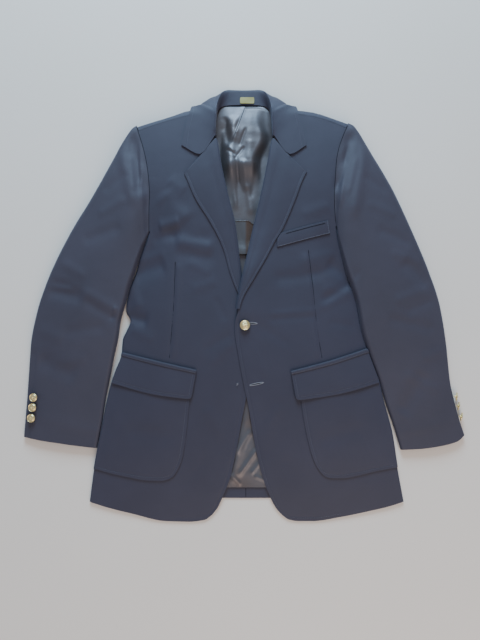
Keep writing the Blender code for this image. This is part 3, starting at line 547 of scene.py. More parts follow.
def makeFront(side, finish):
    low = (side["underarm"] - coat["hemSideY"]) / (side["shoulderSeam"]["y"][-1] - coat["hemSideY"])
    parts = closeEnds(frontParts["columns"], (0, 0.004, 0.01, 0.018, 0.024, 0.03, 0.04))
    lowShares = low * closeEnds(frontParts["rowsLow"], (0, 0.002, 0.005, 0.01, 0.018))
    shares = np.concatenate([lowShares, low + (1 - low) * np.linspace(0, 1, frontParts["rowsHigh"])[1:]])
    out, y = frontPlan(side, parts, shares)
    main = atFront(side, out, y)
    main[..., 2] -= edgeDip(side, out, y)
    start, level = out[: len(lowShares), -1], y[: len(lowShares), -1]
    radius = frontHeight(side, start, level) / 2
    turns = np.linspace(0, math.pi, frontParts["turnSteps"])
    fold = atFront(side, start[:, None] + radius[:, None] * turns, np.repeat(level[:, None], len(turns), 1))
    seamOut = column(frontParts["seam"], "y", "out", level)
    seam = np.stack([sideX(side, seamOut), level, 0 * level], axis=-1)
    turn = np.concatenate([fold, seam[:, None]], axis=1)
    turn[:, 0] = main[: len(lowShares), -1]
    sewCloth(f"front_{side['name']}", [main, turn], coat["cloth"], finish)


def edgeDip(side, out, y):
    # the edge stitch draws the cloth down a little beside the front edge, below the break
    away = out - edgeOut(side, y)
    hemAway = y - column(side["hem"], "out", "y", out)
    away = np.minimum(away, np.where(out < 130 * mm, hemAway, 1))
    dip = frontParts["edgeDip"] * hump(away - frontParts["edgeStitch"], frontParts["edgeDipWidth"])
    return dip * ease((side["breakY"] - y) / (20 * mm) + 1)


# lapels
lapelParts = {
    "rows": 100,
    "leaf": (0, 0.006, 0.014, 0.026, 0.036, 0.044, 0.054, 0.07, 0.1, 0.14, 0.19, 0.25, 0.31, 0.37, 0.43, 0.49,
             0.55, 0.6, 0.65, 0.7, 0.75, 0.8, 0.85, 0.9, 0.95, 1),
    "gorgeY": 297 * mm,
    "wrap": 14 * mm,
    "puff": 1.4 * mm,
    "rollFull": 1.1 * mm,
    "stitch": 3.6 * mm,
    "dip": 0.35 * mm,
    "dipWidth": 0.9 * mm,
}


def lapelLeaf(side, y, leafOut, leafY, share):
    # the leaf between its edge and the roll line, a little full in the middle
    roll = column(side["edge"], "y", "out", y) + coat["lapelCloth"] + coat["lapelGap"] + coat["cloth"] / 2
    out = leafOut + share * (roll - leafOut)
    rowY = leafY + share * (y - leafY)
    height = frontHeight(side, out, rowY) + coat["lapelGap"] + coat["lapelCloth"]
    width = np.abs(roll - leafOut)
    full = lapelParts["puff"] * ease(width / (40 * mm)) * np.sin(math.pi * np.clip(share, 0, 1)) ** 2
    nearRoll = ease((share - 0.72) / 0.2) * ease((1.02 - share) / 0.14)
    full = full + lapelParts["rollFull"] * nearRoll * ease(width / (30 * mm))
    dip = lapelParts["dip"] * hump(share * width - lapelParts["stitch"], lapelParts["dipWidth"])
    return out, rowY, height + full - dip


def lapelLines(side, share):
    # the y of the roll line and the leaf's edge (out, y) at a share of the way up
    peakY = side["lapel"]["y"][-1]
    leafY = side["breakY"] + share * (peakY - side["breakY"])
    y = side["breakY"] + share * (lapelParts["gorgeY"] - side["breakY"])
    y = y + (leafY - y) * (1 - ease(share)) * 0.9
    return y, column(side["lapel"], "y", "out", leafY), leafY


def makeLapel(side, finish):
    shares = np.concatenate([np.linspace(0.02, 0.975, lapelParts["rows"]), (0.985, 0.993, 1)])
    leaf = np.array(lapelParts["leaf"])
    radius = coat["lapelCloth"] + coat["lapelGap"] + coat["cloth"] / 2
    rows = []
    for share in shares:
        y, leafOut, leafY = lapelLines(side, share)
        out, rowY, z = lapelLeaf(side, y, leafOut, leafY, leaf)
        if share > 0.9:
            out, rowY, z = gorgeRow(side, share, out, rowY, z, leaf)
        middle = column(side["edge"], "y", "out", y) + radius
        height = frontHeight(side, middle, y) - coat["cloth"] / 2
        turns = np.arange(1, 8) * math.pi / 8
        turn = [(middle - radius * math.sin(a), y, height + radius * math.cos(a)) for a in turns]
        below = coat["cloth"] + coat["lapelGap"] + coat["lapelCloth"]
        wraps = middle + np.array((0, 0.5, 1)) * lapelParts["wrap"]
        under = [(wrap, y, float(frontHeight(side, wrap, y)) - below) for wrap in wraps]
        rows.append(np.concatenate([np.stack([out, rowY, z], axis=1), turn, under]))
    grid = np.array(rows)
    grid[..., 0] = sideX(side, grid[..., 0])
    sewCloth(f"lapel_{side['name']}", [grid], coat["lapelCloth"], finish)


def gorgeRow(side, share, out, y, z, leaf):
    # near its top the lapel's rows turn into its top edge: from the peak to the notch, then the gorge seam
    notchOut, notchY = side["notch"]
    gorgeOut = column(side["edge"], "y", "out", lapelParts["gorgeY"]) + 4 * mm
    peak = (side["lapel"]["out"][-1], side["lapel"]["y"][-1])
    topOut = np.interp(leaf, (0, 0.6, 1), (peak[0], notchOut, gorgeOut))
    topY = np.interp(leaf, (0, 0.6, 1), (peak[1], notchY, lapelParts["gorgeY"]))
    blend = ease((share - 0.9) / 0.1)
    out = out + blend * (topOut - out)
    y = y + blend * (topY - y)
    flat = frontHeight(side, out, y) + coat["lapelGap"] + coat["lapelCloth"]
    return out, y, z + blend * (flat - z)


# back and side panels
backParts = {
    "seam": table("y out", (-370, 150), (-100, 132), (0, 127), (118, 124)),
    "columns": (0.001, 0.08, 0.16, 0.23, 0.3, 0.38, 0.47, 0.56, 0.66, 0.75, 0.83, 0.88, 0.93, 0.965, 1),
    "seamColumn": 8,
    "neckColumn": 4,
    "leafLift": 2.8 * mm,
    "turnSteps": 12,
    "edgeRound": 0.15 * mm,
}


def leafRise(out, y):
    # how far the collar's leaf lifts the back off the floor
    return backParts["leafLift"] * ease((112 * mm - out) / (30 * mm)) * ease((y - 300 * mm) / (52 * mm))


def neckLine(out):
    return smooth([0, 34 * mm, 48 * mm, 56 * mm], [coat["neckSeamY"], 372 * mm, 365 * mm, 359 * mm], out)


def makeBack(side, finish):
    tipOut = side["shoulderSeam"]["out"][-1]
    split = side["underarm"] + 0.6 * mm
    parts = np.array(backParts["columns"])
    seamColumn, neckColumn = backParts["seamColumn"], backParts["neckColumn"]

    def place(out, y, z):
        out, y, z = np.broadcast_arrays(np.maximum(out, 0.05 * mm), y, z)
        return np.stack([sideX(side, out), y, z], axis=-1)

    def outAt(part, y):
        return part * (column(side["armhole"], "y", "out", y) - coat["armholeGap"])

    seamY = np.full(len(parts), side["shoulderSeam"]["y"][-1])
    for _ in range(4):
        seamY = column(side["shoulderSeam"], "out", "y", outAt(parts, seamY)) + coat["seamGap"]
    start = seamY + 0.5 * mm
    depth = column(side["shoulderFold"], "out", "y", outAt(parts, start)) - start
    seamOut = outAt(parts, seamY)
    seamLevel = column(side["shoulderSeam"], "out", "y", seamOut)
    radius = (frontHeight(side, seamOut, seamLevel, fine=False) - leafRise(seamOut, seamLevel)) / 2

    low = []
    for y in np.linspace(coat["backHemY"], split, 24):
        scale = outAt(1, y) if y == split else column(backParts["seam"], "y", "out", y) / parts[seamColumn]
        low.append(place(parts[: seamColumn + 1] * scale, y, 0))
    topY = np.where(np.arange(len(parts)) >= neckColumn, start, neckLine(parts * tipOut))
    high = []
    for share in np.linspace(0, 1, 24):
        y = split + share * (topY - split)
        out = outAt(parts, y)
        high.append(place(out, y, leafRise(out, y)))
    turn = []
    steps = backParts["turnSteps"]
    upper = parts[neckColumn:]
    start, depth, radius, seamY = (row[neckColumn:] for row in (start, depth, radius, seamY))
    for step in range(steps + 2):
        angle = math.pi * min(step, steps) / steps
        ends = step in (0, steps)
        y = start if ends else seamY if step > steps else start + depth * math.sin(angle)
        out = outAt(upper, y)
        turn.append(place(out, y, leafRise(outAt(upper, start), start) + radius * (1 - math.cos(angle))))
    grids = [np.array(low), np.array(high), np.array(turn)]
    sewCloth(f"back_{side['name']}", grids, coat["cloth"], finish, (0, 0, -1), backParts["edgeRound"])


def makeSidePanel(side, finish):
    rows = []
    for y in np.linspace(coat["backHemY"] - 3 * mm, side["underarm"] - 0.4 * mm, 24):
        far = column(frontParts["seam"], "y", "out", y) - 1.5 * coat["panelGap"]
        near = column(backParts["seam"], "y", "out", y) + coat["panelGap"]
        outs = near + np.linspace(0, 1, 7) * (far - near)
        rows.append([(sideX(side, out), y, 0) for out in outs])
    sewCloth(f"side_{side['name']}", [np.array(rows)], coat["cloth"], finish, (0, 0, -1))


# sleeves
sleeveParts = {
    "rows": 150,
    "across": 62,
    "turnSteps": 14,
    "wrap": 10 * mm,
    "cuffRows": (0.984, 0.989, 0.993, 0.997),
    "headFull": 1.2 * mm,  # how far the cloth stands up where it is eased into the armhole
    "headAt": 0.022,
    "headWidth": 0.014,
    "hemRidge": 0.5 * mm,
    "hemAt": 0.93,
    "hemWidth": 0.02,
    "ventStep": 0.9 * mm,
    "ventShare": 0.9,
    "ventAlong": 0.74,
}


def sleevePlan(side, along, across):
    outer = list(zip(side["sleeveOuter"]["out"], side["sleeveOuter"]["y"]))
    inner = list(zip(side["sleeveInner"]["out"], side["sleeveInner"]["y"]))
    cuff = list(zip(side["cuff"]["out"], side["cuff"]["y"]))[::-1]
    head = [inner[0]]
    head += [
        (out + coat["seamGap"], y)
        for out, y in zip(side["armhole"]["out"], side["armhole"]["y"])
        if inner[0][1] + 8 * mm < y < outer[0][1] - 12 * mm
    ]
    head.append(outer[0])
    far, near = through(outer, [along])[0], through(inner, [along])[0]
    top, end = through(head, across), through(cuff, across)
    across = np.asarray(across)[:, None]
    flat = (1 - across) * near + across * far + (1 - along) * top + along * end
    flat -= (1 - along) * ((1 - across) * np.array(inner[0]) + across * np.array(outer[0]))
    return flat - along * ((1 - across) * np.array(inner[-1]) + across * np.array(outer[-1]))


def sleeveRow(side, along):
    # one ring of a sleeve, from the wrap under its inner fold over the top to the wrap under its outer fold
    line = sleevePlan(side, along, np.linspace(0, 1, 61))
    length = lengthAlong(line)
    names = ("inner", "middle", "outer")
    heights = [float(smooth(sleeveLevels["along"], sleeveLevels[name], along)) for name in names]

    def spot(distance):
        distance = np.atleast_1d(distance)
        share = distance / length[-1]
        at = np.stack([np.interp(distance, length, line[:, i]) for i in (0, 1)], axis=1)
        x = sideX(side, at[:, 0])
        bend = foldHeight(folds, x, at[:, 1]) + foldHeight(creases, x, at[:, 1])
        height = smooth((0, 0.5, 1), heights, share) + bend * ease(share * 6) * ease((1 - share) * 6)
        height = height + cuffShape(side, along, share)
        join = frontHeight(side, at[:, 0], at[:, 1])
        height = join + (height - join) * ease(along / 0.05)
        full = sleeveParts["headFull"] * hump(along - sleeveParts["headAt"], sleeveParts["headWidth"])
        height = height + full * (0.6 + 0.4 * np.sin(at[:, 1] / (7 * mm))) * ease(share * 5)
        return at, height

    def turn(distance, way):
        at, height = spot(distance)
        end, radius = at[0], height[0] / 2
        before = spot(min(max(distance - way * 6 * mm, 0), length[-1]))[0][0]
        heading = (end - before) / np.linalg.norm(end - before)
        angles = math.pi * np.arange(1, sleeveParts["turnSteps"] + 1) / sleeveParts["turnSteps"]
        points = [(*(end + heading * radius * math.sin(a)), radius + radius * math.cos(a)) for a in angles]
        return points + [(*(end - heading * sleeveParts["wrap"]), 0)]

    start = spot(0)[1][0] / 2
    stop = length[-1] - spot(length[-1])[1][0] / 2
    at, height = spot(np.linspace(start, stop, sleeveParts["across"]))
    top = np.column_stack([at, height])
    row = np.concatenate([turn(start, -1)[::-1], top, turn(stop, 1)])
    margin = sleeveParts["wrap"] + coat["panelGap"] + 0.6 * mm
    under = spot(np.linspace(start + margin, stop - margin, 9))[0]
    return row, np.column_stack([under, np.zeros(len(under))])


def cuffShape(side, along, share):
    # the hem of the cuff is a soft ridge, and the vent's edge a step beside the buttons
    ridge = sleeveParts["hemRidge"] * hump(along - sleeveParts["hemAt"], sleeveParts["hemWidth"])
    onVent = ease((share - sleeveParts["ventShare"]) / 0.012)
    onVent = onVent * ease((along - sleeveParts["ventAlong"]) / 0.02)
    vent = sleeveParts["ventStep"] * onVent
    return ridge - (vent if side["sign"] < 0 else 0 * share)


def makeSleeve(side, finish):
    steps = np.linspace(0, 1, sleeveParts["rows"])
    alongs = np.unique(np.concatenate([steps, (0.004, 0.01), sleeveParts["cuffRows"]]))
    rows, underRows = zip(*(sleeveRow(side, along) for along in alongs))
    grids = [np.array(rows), np.array(underRows)]
    for grid in grids:
        grid[..., 0] = sideX(side, grid[..., 0])
    middle = grids[0].shape[1] // 2
    halves = [grids[0][:, middle:], grids[0][:, : middle + 1]]
    name = side["name"]
    sewCloth(f"upper_sleeve_{name}", halves, coat["sleeveCloth"], finish)
    sewCloth(f"under_sleeve_{name}", [grids[1]], coat["sleeveCloth"], finish, (0, 0, -1))


# collar: half of it from the middle of the back to the gorge, as points (out, y, z) of each station:
# its seam, the top of the stand, the start of the fall, the middle of the leaf and its edge
collarStations = (
    ((0, 377, 6.8), (0, 405, 7.2), (0, 405, 0), (0, 388, 0), (0, 367, 0)),
    ((28, 376, 7), (26, 404, 8.5), (29, 405.5, 0.6), (30, 388, 0), (28, 366.5, 0)),
    ((42, 372, 8.5), (38.5, 395, 13), (42.5, 401.5, 8.5), (47, 396, 0.8), (44, 365, 0)),
    ((48.5, 365, 10.5), (46.5, 379, 20), (51, 386.5, 19.5), (60, 393, 7), (60, 363, 0)),
    ((51.5, 356, 12), (51, 362.5, 27), (55.5, 368, 29.5), (71, 382, 16), (76, 362.5, 0.3)),
    ((53, 345, 13), (52.5, 351, 31), (57, 356, 33.5), (82, 371, 20), (90.5, 365, 5.5)),
    ((53.5, 335, 14), (53.5, 341, 32.5), (58, 346, 34.5), (83, 364, 28.5), (99, 367, 18)),
    ((54, 322, 15), (54, 326, 32), (58.5, 330, 34), (80, 341, 31.4), (104, 347, 30.8)),
    ((54.5, 309, 16), (54.5, 311, 30.5), (59, 313, 32.5), (82, 313, 30.9), (112.5, 316, 30.8)),
)
collarParts = {
    "rows": 121,
    "across": (0, 0.03, 0.07, 0.12, 0.17, 0.22, 0.26, 0.3, 0.34, 0.38, 0.42, 0.46, 0.5, 0.55, 0.6, 0.65, 0.7,
               0.75, 0.8, 0.85, 0.89, 0.92, 0.945, 0.965, 0.98, 0.992, 1),
    "tip": (118.5 * mm, 283.5 * mm),
    "dip": 0.3 * mm,
    "dipWidth": 1.1 * mm,
    "stitch": 3.8 * mm,
}


def throughRows(points, fractions):
    # points at even steps of station number, along a smooth line through one point of each station
    number = np.linspace(0, 1, len(points))
    return np.stack([smooth(number, points[:, i], np.asarray(fractions)) for i in range(3)], axis=1)


def collarSection(station, sign):
    seam, stand, fall, leaf, edge = (np.array(at, float) for at in station)
    away = (stand + fall) / 2 - (seam + leaf) / 2
    away = away / np.linalg.norm(away)
    fold = (stand + fall) / 2 + away * np.linalg.norm(stand - fall) * 0.5
    points = throughRows(np.array([seam, stand, fold, fall, leaf, edge]), collarParts["across"])
    return points * (sign, 1, 1) + (coat["neckX"], 0, 0)


def collarFront(side):
    # the collar's last station, along the gorge seam and down to the collar's tip
    offset = side["sign"] * (coat["neckX"] - coat["centreX"])
    gorgeOut = column(side["edge"], "y", "out", lapelParts["gorgeY"]) + 4 * mm - offset
    z = float(frontHeight(side, 85 * mm, 290 * mm, fine=False))
    z = z + coat["layGap"] + coat["collarCloth"] + 0.4 * mm
    return (
        (gorgeOut - 1 * mm, 302 * mm, z - 10 * mm),
        (gorgeOut - 3 * mm, 302 * mm, z - 2.5 * mm),
        (gorgeOut + 1 * mm, 301.5 * mm, z),
        (side["notch"][0] - offset, side["notch"][1] + 3.4 * mm, z),
        (*collarParts["tip"], z),
    )


def collarGrid():
    halves = []
    for side in (rightSide, leftSide):
        stations = [np.array(row) * mm for row in collarStations]
        stations.append(collarFront(side))
        halves.append([collarSection(row, side["sign"]) for row in stations])
    rows = np.array(halves[0][::-1] + halves[1][1:])
    length = np.linspace(0, 1, collarParts["rows"])
    columns = [throughRows(rows[:, i], length) for i in range(rows.shape[1])]
    return np.stack(columns, axis=1)


def makeCollar(finish):
    grid = collarGrid()
    across = np.linalg.norm(np.diff(grid, axis=1), axis=2)
    fromEdge = np.cumsum(across[:, ::-1], axis=1)[:, ::-1]
    fromEdge = np.concatenate([fromEdge, np.zeros((len(grid), 1))], axis=1)
    dip = collarParts["dip"] * hump(fromEdge - collarParts["stitch"], collarParts["dipWidth"])
    grid[..., 2] = np.maximum(grid[..., 2] - dip, 0)
    middle = collarParts["rows"] // 2
    grids = [grid[middle:], grid[: middle + 1]]
    sewCloth("collar", grids, coat["collarCloth"], finish)


# lining, label and the satin piece inside
liningWidth = table("y out", (280, 135), (330, 84), (352, 60), (366, 51), (373, 45))
liningFolds = table(
    "x1 y1 x2 y2 width height",
    (1, 372, -20, 330, 5, 2.2),
    (-20, 330, -27, 200, 6, 3.6),
    (12, 350, 16, 150, 11, 3.2),
    (-38, 320, -34, 190, 6, 2.6),
    (-50, 322, 45, 318, 8, 1.6),
    (-6, 250, -2, 120, 5, -1.2),
    (-60, -338, 70, -320, 7, 0.9),
    (-40, -290, 10, -250, 9, 0.9),
)
liningCreases = table(
    "x1 y1 x2 y2 width height",
    (-39, 347, -28, 296, 8, -3.2),
    (-20, 350, -18, 300, 9, 1.8),
    (-31, 282, -16, 270, 2.4, -1.8),
    (-30, 288, -18, 277, 3.0, 1.4),
    (4, 324, -8, 291, 3.0, -1.6),
    (0, 286, -17, 263, 2.6, -1.8),
    (12, 300, 8, 262, 7, 1.2),
    (-13, 258, -6, 168, 3.0, -3.2),
    (-25, 256, -14, 172, 5, 1.8),
    (-1, 258, 5, 206, 6, 2.6),
    (24, 250, 14, 190, 5, -1.4),
    (8, 214, 14, 160, 6, 1.4),
    (-46, -330, -38, -348, 3.2, 1.4),
    (8, -212, -20, -340, 8, 2.6),
    (24, -284, -8, -328, 4.4, 2.8),
    (12, -252, -14, -290, 5, 2.2),
    (42, -340, 20, -331, 2.4, 1.8),
    (-6, -346, -24, -328, 3.2, 2.0),
    (30, -306, 14, -326, 3.4, 1.8),
    (20, -262, 6, -288, 3.6, -1.6),
    (-20, -300, -34, -338, 3.6, -1.4),
)
pleat = {
    "from": (5 * mm, 377 * mm),
    "to": (-25 * mm, 288 * mm),
    "step": 3.6 * mm,
    "edge": 0.7 * mm,
    "fade": 90 * mm,
}


def pleatHeight(x, y):
    # the centre pleat: a folded edge on one side that slopes away on the other
    x1, y1 = pleat["from"]
    x2, y2 = pleat["to"]
    size = math.hypot(x2 - x1, y2 - y1)
    runX, runY = (x2 - x1) / size, (y2 - y1) / size
    along = ((x - x1) * runX + (y - y1) * runY) / size
    across = (y - y1) * runX - (x - x1) * runY
    rise = 0.5 + 0.5 * np.tanh(across / pleat["edge"])
    ends = ease((along + 0.1) * 8) * ease((1 - along) * 3)
    return pleat["step"] * rise * np.exp(-np.maximum(across, 0) / pleat["fade"]) * ends


swell = {
    "top": 257 * mm,
    "height": 15 * mm,
    "fall": 27 * mm,
    "from": -46 * mm,
    "to": 47 * mm,
    "narrow": 16 * mm,
    "side": 20 * mm,
    "wave": 4 * mm,
}


def swellHeight(x, y):
    # the lining climbs evenly from the neck seam and then falls away towards the waist
    climb = np.clip((coat["neckSeamY"] - y) / (coat["neckSeamY"] - swell["top"]), 0, 1)
    fall = hump(np.minimum(y - swell["top"], 0), swell["fall"])
    narrowed = swell["narrow"] * ease((coat["neckSeamY"] - 60 * mm - y) / (100 * mm))
    far = swell["to"] - narrowed - swell["wave"] * np.sin(y / (13 * mm))
    wide = ease((x - swell["from"]) / swell["side"]) * ease((far - x) / swell["side"])
    return swell["height"] * climb * fall * wide


def liningHeight(x, y, fine=True):
    height = coat["cloth"] + 2 * coat["layGap"] + coat["liningCloth"]
    height = height + leafRise(np.abs(x - coat["centreX"]), y)
    rise = insideParts["foldShare"] * foldHeight(liningFolds, x, y)
    if fine:
        ends = ease((coat["neckSeamY"] - y) / (9 * mm))
        rise = rise + (foldHeight(liningCreases, x, y) + pleatHeight(x, y)) * ends + swellHeight(x, y)
    return height + rise / (1 + np.exp(-rise / (0.5 * mm)))


def makeLining(finish):
    y = np.concatenate([
        np.linspace(coat["liningHemY"], -230 * mm, 50),
        np.linspace(-230 * mm, 60 * mm, 20)[1:],
        np.linspace(60 * mm, coat["neckSeamY"] - 1 * mm, 140)[1:],
    ])
    part = np.linspace(-1, 1, 101)
    half = column(liningWidth, "y", "out", y)
    x = coat["centreX"] + half[:, None] * np.sign(part) * np.abs(part) ** 1.4
    y = np.repeat(y[:, None], len(part), 1)
    grid = np.stack([x, y, liningHeight(x, y)], axis=-1)
    sewCloth("lining", [grid], coat["liningCloth"], finish, edgeRound=0)


insideParts = {
    "labelX": (-7 * mm, 21 * mm),
    "labelY": (379 * mm, 392 * mm),
    "labelZ": 8.4 * mm,
    "labelCloth": 0.7 * mm,
    "patchX": (-16 * mm, 19 * mm),
    "patchY": (78 * mm, 143 * mm),
    "cordRadius": 0.8 * mm,
    "edgeRound": 0.2 * mm,
    "foldShare": 0.45,  # how much of the lining's folds shows
    "patchStand": 3.4 * mm,
}


def makeLabel(finish):
    x, y = np.meshgrid(np.linspace(*insideParts["labelX"], 29), np.linspace(*insideParts["labelY"], 15))
    left, bottom = insideParts["labelX"][0], insideParts["labelY"][0]
    bulge = 0.25 * mm * np.sin((x - left) / (5 * mm)) * np.sin((y - bottom) / (4 * mm))
    middleX, middleY = np.mean(insideParts["labelX"]), np.mean(insideParts["labelY"])
    reach = np.abs(y - middleY) / (insideParts["labelY"][1] - middleY)
    x = middleX + (x - middleX) * (1 - 0.1 * reach ** 5)
    grid = np.stack([x, y, insideParts["labelZ"] + bulge], axis=-1)
    sewCloth("neck_label", [grid], insideParts["labelCloth"], finish, edgeRound=insideParts["edgeRound"])


def patchHeight(x, y):
    # it stands off the lining at its lower end, over the dark opening below it
    stand = insideParts["patchStand"] * ease((insideParts["patchY"][0] + 30 * mm - y) / (28 * mm))
    return liningHeight(x, y, fine=False) + coat["liningCloth"] + coat["layGap"] + 1.1 * mm + stand


def makePatch(finish):
    x, y = np.meshgrid(np.linspace(*insideParts["patchX"], 41), np.linspace(*insideParts["patchY"], 60))
    top = insideParts["patchY"][1]
    slope = ease((x - 8 * mm) / (10 * mm)) * 7 * mm
    y = y - slope * (y - insideParts["patchY"][0]) / (top - insideParts["patchY"][0])
    ripple = 0.35 * mm * np.sin(x / (3.1 * mm) + y / (9 * mm)) + 0.3 * mm * np.sin(x / (5.3 * mm) - 1)
    grid = np.stack([x, y, patchHeight(x, y) + ripple], axis=-1)
    sewCloth("inside_patch", [grid], coat["liningCloth"], finish, edgeRound=insideParts["edgeRound"])
    cordLine = grid[-1] + (0, 0.4 * mm, 0.2 * mm)
    return sweep("inside_patch_cord", [cordLine], insideParts["cordRadius"], finish, 10)


def sweep(name, lines, radius, finish, around=8, flat=1.0):
    # a round thread or cord along each line of points, closed at both ends
    tube = bmesh.new()
    for line in lines:
        line = np.asarray(line, float)
        heading = np.gradient(line, axis=0)
        heading /= np.linalg.norm(heading, axis=1)[:, None]
        across = np.cross(heading, (0, 0, 1))
        size = np.linalg.norm(across, axis=1)[:, None]
        across = np.where(size < 0.2, (1, 0, 0), across / np.maximum(size, 0.01))
        up = np.cross(across, heading)
        turns = [2 * math.pi * i / around for i in range(around)]
        rings = []
        for at, wide, high in zip(line, across, up):
            spokes = [wide * math.cos(a) + flat * high * math.sin(a) for a in turns]
            rings.append([tube.verts.new(at + radius * spoke) for spoke in spokes])
        for low, high in zip(rings, rings[1:]):
            for i in range(around):
                j = (i + 1) % around
                tube.faces.new((low[i], low[j], high[j], high[i]))
        tube.faces.new(rings[0][::-1])
        tube.faces.new(rings[-1])
    bmesh.ops.recalc_face_normals(tube, faces=tube.faces)
    mesh = bpy.data.meshes.new(name)
    tube.to_mesh(mesh)
    tube.free()
    piece = addPiece(name, mesh, finish)
    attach(piece, "root")
    return piece


# pockets
pocketParts = {
    "turnAngles": np.linspace(0.08, 0.7, 6),
    "topY": -152 * mm,
    "columns": closeEnds(60, (0, 0.004, 0.01, 0.02, 0.03, 0.045)),
    "rows": (0, 0.006, 0.015, 0.03, 0.045, 0.065, *np.linspace(0.09, 1, 40)),
    "stitch": 5.5 * mm,
    "dip": 0.35 * mm,
    "dipWidth": 1.2 * mm,
    "puff": 0.8 * mm,
    "flapRows": (0, 0.01, 0.03, 0.06, 0.09, 0.12, 0.15, *np.linspace(0.2, 0.84, 18),
                 0.88, 0.91, 0.94, 0.965, 0.985, 1),
    "flapLift": 1.7 * mm,  # the flap's lower edge stands off the pocket
    "stripShares": np.linspace(0.004, 0.125, 7),
    "stripCloth": 0.9 * mm,
}


def acrossToTurn(side, near, y, parts, angles, lift):
    # points on the front from near to the side's top, then round the side fold, a row for each y
    turn = column(side["side"], "y", "out", y) - sideRadius(side, y)
    radius = frontHeight(side, turn, y) / 2
    count = len(parts)
    out = near[:, :count] + parts * (turn[:, :count] - near[:, :count])
    beyond = turn[:, count:] + angles * radius[:, count:]
    return atFront(side, np.concatenate([out, beyond], axis=1), y, lift)


def patchPlan(side):
    parts = pocketParts["columns"]
    angles = pocketParts["turnAngles"]
    along = np.concatenate([parts, np.ones(len(angles))])
    first, last = side["patchBottom"]["out"][0], side["patchBottom"]["out"][-1]
    bottom = column(side["patchBottom"], "out", "y", first + along * (last - first))
    shares = np.array(pocketParts["rows"])[:, None]
    y = bottom + shares * (pocketParts["topY"] - bottom)
    return y, column(side["patch"], "y", "out", y), parts, angles


def makePatchPocket(side, finish):
    y, near, parts, angles = patchPlan(side)
    lift = oneLayer
    grid = acrossToTurn(side, near, y, parts, angles, lift)
    inward = np.abs(grid[..., 0] - coat["centreX"]) - near
    upward = y - y[0]
    away = np.minimum(inward, upward)
    puff = pocketParts["puff"] * ease(away / (40 * mm)) * ease((pocketParts["topY"] - y) / (60 * mm))
    dip = pocketParts["dip"] * hump(away - pocketParts["stitch"], pocketParts["dipWidth"])
    grid[:, : len(parts), 2] += (puff - dip)[:, : len(parts)] * ease((1 - parts) * 8)
    sewCloth(f"patch_pocket_{side['name']}", [grid], coat["cloth"], finish)


def flapGrid(side, lift, shares, angles, stand=0.0):
    parts = pocketParts["columns"]
    near = side["flap"]["out"][0]
    along = np.concatenate([parts, np.ones(len(angles))])
    outs = near + along * (side["flap"]["out"][-1] - near)
    top, bottom = (column(side["flap"], "out", name, outs) for name in ("top", "bottom"))
    shares = np.asarray(shares, float)[:, None]
    corner = 3.5 * mm * np.exp(-along / 0.02) * ease((shares - 0.8) / 0.2)
    y = top + shares * (bottom - top) + corner
    nearEdge = near + 9 * mm * shares + 0 * y
    grid = acrossToTurn(side, nearEdge, y, parts, np.asarray(angles), lift)
    grid[..., 2] += stand * ease(shares) * (0.6 + 0.4 * np.sin(along * 9 + side["sign"]))
    return grid


def makeFlap(side, finish):
    lift = 2 * oneLayer
    shares = pocketParts["flapRows"]
    grid = flapGrid(side, lift, shares, pocketParts["turnAngles"][:3], pocketParts["flapLift"])
    middle = side["flap"]["out"][1]
    top, bottom = (column(side["flap"], "out", name, middle) for name in ("top", "bottom"))
    fromBottom = (1 - np.array(shares)[:, None]) * (top - bottom)
    fromEnd = np.abs(grid[..., 0] - grid[:, :1, 0])
    away = np.minimum(fromBottom, fromEnd)
    grid[..., 2] -= pocketParts["dip"] * hump(away - pocketParts["stitch"], pocketParts["dipWidth"])
    sewCloth(f"pocket_flap_{side['name']}", [grid], coat["cloth"], finish)


def makeStrip(side, finish):
    lift = 2 * oneLayer + coat["seamGap"] + pocketParts["stripCloth"]
    grid = flapGrid(side, lift, pocketParts["stripShares"], pocketParts["turnAngles"][:3])
    grid[..., 2] += 0.35 * mm * np.array((-1, 0.2, 0.9, 1, 0.9, 0.2, -1))[:, None]
    sewCloth(f"flap_strip_{side['name']}", [grid], pocketParts["stripCloth"], finish, edgeRound=0.3 * mm)


weltParts = {
    "out": (59 * mm, 159 * mm),
    "y": 89 * mm,
    "height": 25 * mm,
    "rise": 0.265,
    "lean": 4 * mm,
    "full": 0.4 * mm,
}


def weltPoints(side, parts, share, lift):
    y0 = weltParts["y"] + weltParts["height"] * share
    near = np.maximum(weltParts["out"][0], column(side["lapel"], "y", "out", y0) + 2 * mm)
    out = near + parts * (weltParts["out"][1] - weltParts["lean"] * share - near)
    return atFront(side, out, y0 + (out - weltParts["out"][0]) * weltParts["rise"], lift)


def makeWelt(side, finish):
    parts = closeEnds(40, (0, 0.01, 0.02, 0.03))
    shares = closeEnds(12, (0, 0.03, 0.06, 0.1))
    grid = np.array([weltPoints(side, parts, share, oneLayer) for share in shares])
    grid[..., 2] += weltParts["full"] * np.sin(math.pi * shares)[:, None]
    sewCloth("breast_welt", [grid], coat["cloth"], finish)


